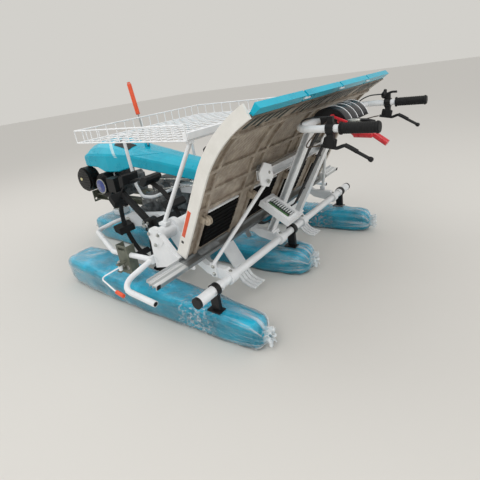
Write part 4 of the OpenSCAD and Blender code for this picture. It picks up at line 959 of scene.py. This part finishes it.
finish["clearFilm"] = buildFilm(filmLook)
wrapLook = {
    "rings": 230, "around": 96,
    "gap": 0.0020,            # how far the film lies off the float
    "crumple": 0.0050,        # height of the loose folds
    "foldMm": 60,
    "ruckMm": 24,             # and of the finer ones by the float's pivot
    "fineRuckMm": 15,
    "bunched": (-0.56, -0.28),
    "tailPart": 0.16,         # share of the length that is drawn to the tail
    "nosePart": 0.07,
    "tailLength": 0.034, "neck": 0.020, "flare": 0.027,
    "noseLength": 0.030,
    "onFloor": 0.0006,
}


def filmWrap(name, node, look, tailZ, noseZ):
    # the float's own surface pushed out along rays, ring by ring, then the tail and the nose
    tree = surfaceOf(nodes[node])
    low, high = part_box(node)
    wide = (high.x - low.x) / 2 + 0.3
    tailY, noseY = low.y + 0.004, high.y - 0.006
    grid, whiteFilmAndHighlight = [], []

    def across(y):  # middle and half width of the float at y
        left = tree.ray_cast(Vector((low.x - 0.3, y, 0.05)), Vector((1, 0, 0)))[0]
        right = tree.ray_cast(Vector((high.x + 0.3, y, 0.05)), Vector((-1, 0, 0)))[0]
        if left is None or right is None:
            return None
        top = tree.ray_cast(Vector(((left.x + right.x) / 2, y, 1)), Vector((0, 0, -1)))[0]
        return (left.x + right.x) / 2, (right.x - left.x) / 2, top.z

    for i in range(look["rings"] + 1):
        share = i / look["rings"]
        y = tailY + share * (noseY - tailY)
        here = across(y)
        if here is None:
            continue
        cx, half, top = here
        cz = top / 2
        ring, cover = [], []
        for k in range(look["around"] + 1):
            angle = math.radians(-90 + 360 * k / look["around"])
            outward = Vector((math.cos(angle), 0, math.sin(angle)))
            hit = tree.ray_cast(Vector((cx, y, cz)) + outward * wide, -outward, wide)[0]
            if hit is None:
                hit = Vector((cx, y, cz)) + outward * half * 0.7
            nearTail = max(0.0, 1 - share / look["tailPart"])
            nearNose = max(0.0, (share - 1 + look["nosePart"]) / look["nosePart"])
            folds = abs(noise.noise(Vector((hit.x, hit.y * 0.5, hit.z)) * perMetre(look["foldMm"])))
            broad = abs(noise.noise(Vector((angle * 2.3, y * 2.0, cx * 9))))
            narrow = abs(noise.noise(Vector((angle * 5.5, y * 3.5, cx * 7 + 4))))
            pleat = max(0.0, 1 - 5 * broad) ** 2 + 0.6 * max(0.0, 1 - 7 * narrow) ** 2
            first, last = look["bunched"]
            bunch = max(0.0, 1 - abs(2 * y - first - last) / (last - first))
            if node == "float_centre":
                bunch = 0
            ruck = abs(noise.noise(Vector((hit.x * 1.6, hit.y, hit.z * 1.6)) * perMetre(look["ruckMm"])))
            fineRuck = abs(noise.noise(Vector((hit.x, hit.y * 0.7, hit.z)) * perMetre(look["fineRuckMm"])))
            crumple = 1.8 * folds + 0.9 * nearTail * pleat + bunch * (2.0 * ruck + 0.7 * fineRuck)
            lift = look["gap"] + look["crumple"] * crumple
            spot = hit + outward * lift
            spot.z = max(spot.z, look["onFloor"])
            ring.append(spot)
            # white share of the film: creases and pleats partly stress-whitened, partly painted highlight
            crease = max(0.0, 1 - 8 * ruck) ** 2 + 0.8 * max(0.0, 1 - 7 * fineRuck) ** 2
            cover.append(0.62 * nearTail ** 1.3 * pleat + 0.35 * nearNose * folds + 0.8 * bunch * crease)
        grid.append(ring)
        whiteFilmAndHighlight.append(cover)

    tail, nose = grid[0], grid[-1]
    tailMid = sum(tail, Vector()) / len(tail)
    noseMid = sum(nose, Vector()) / len(nose)
    for step in range(1, 9):  # the gathered tail: a neck, then a crumpled tuft
        t = step / 8
        y = tailMid.y - look["tailLength"] * t
        size = look["neck"] + (look["flare"] - look["neck"]) * max(0.0, (t - 0.45) / 0.55)
        ring, cover = [], []
        for k, start in enumerate(tail):
            angle = math.radians(-90 + 360 * k / look["around"])
            pull = min(1.0, t / 0.42) ** 0.7
            uneven = noise.noise(Vector((angle * 3, t * 5, 2)))
            wave = 1 + 0.35 * math.sin(9 * angle + t * 3) + 0.25 * uneven
            goal = Vector((tailMid.x + math.cos(angle) * size * wave * 0.7, 0,
                tailZ + math.sin(angle) * size * wave * 1.25))
            spot = start.lerp(goal, pull)
            spot.y = y + 0.010 * noise.noise(Vector((angle * 4, t * 3, 7)))
            spot.z = max(spot.z, look["onFloor"])
            ring.append(spot)
            cover.append(0.25 + 0.65 * t)
        grid.insert(0, ring)
        whiteFilmAndHighlight.insert(0, cover)
    for step in range(1, 6):  # the flat weld past the nose
        t = step / 5
        ring, cover = [], []
        for k, start in enumerate(nose):
            away = start - noseMid
            goal = Vector((noseMid.x + away.x * 1.05, 0, noseZ + away.z * 0.04))
            spot = start.lerp(goal, t ** 0.6)
            spot.y = noseMid.y + look["noseLength"] * t + 0.004 * noise.noise(start * 60)
            ring.append(spot)
            cover.append(0.1 + 0.5 * t ** 2)
        grid.append(ring)
        whiteFilmAndHighlight.append(cover)

    mesh = bpy.data.meshes.new(name)
    count = look["around"] + 1
    faces = [(i * count + k, i * count + k + 1, (i + 1) * count + k + 1, (i + 1) * count + k)
        for i in range(len(grid) - 1) for k in range(count - 1)]
    mesh.from_pydata([p for ring in grid for p in ring], [], faces)
    mesh.update()
    layer = mesh.attributes.new("whiteFilmAndHighlight", "FLOAT", "POINT")
    layer.data.foreach_set("value", [c for ring in whiteFilmAndHighlight for c in ring])
    obj = bpy.data.objects.new(name, mesh)
    bpy.context.scene.collection.objects.link(obj)
    take(obj)
    bpy.ops.object.mode_set(mode="EDIT")
    bpy.ops.mesh.select_all(action="SELECT")
    bpy.ops.mesh.flip_normals()
    bpy.ops.object.mode_set(mode="OBJECT")
    settle(obj, name, "clearFilm", 180)
    return obj


for label, tailHeight in (("left", 0.062), ("right", 0.062), ("centre", 0.075)):
    filmWrap("film_" + label, "float_" + label, wrapLook, tailHeight, 0.075)
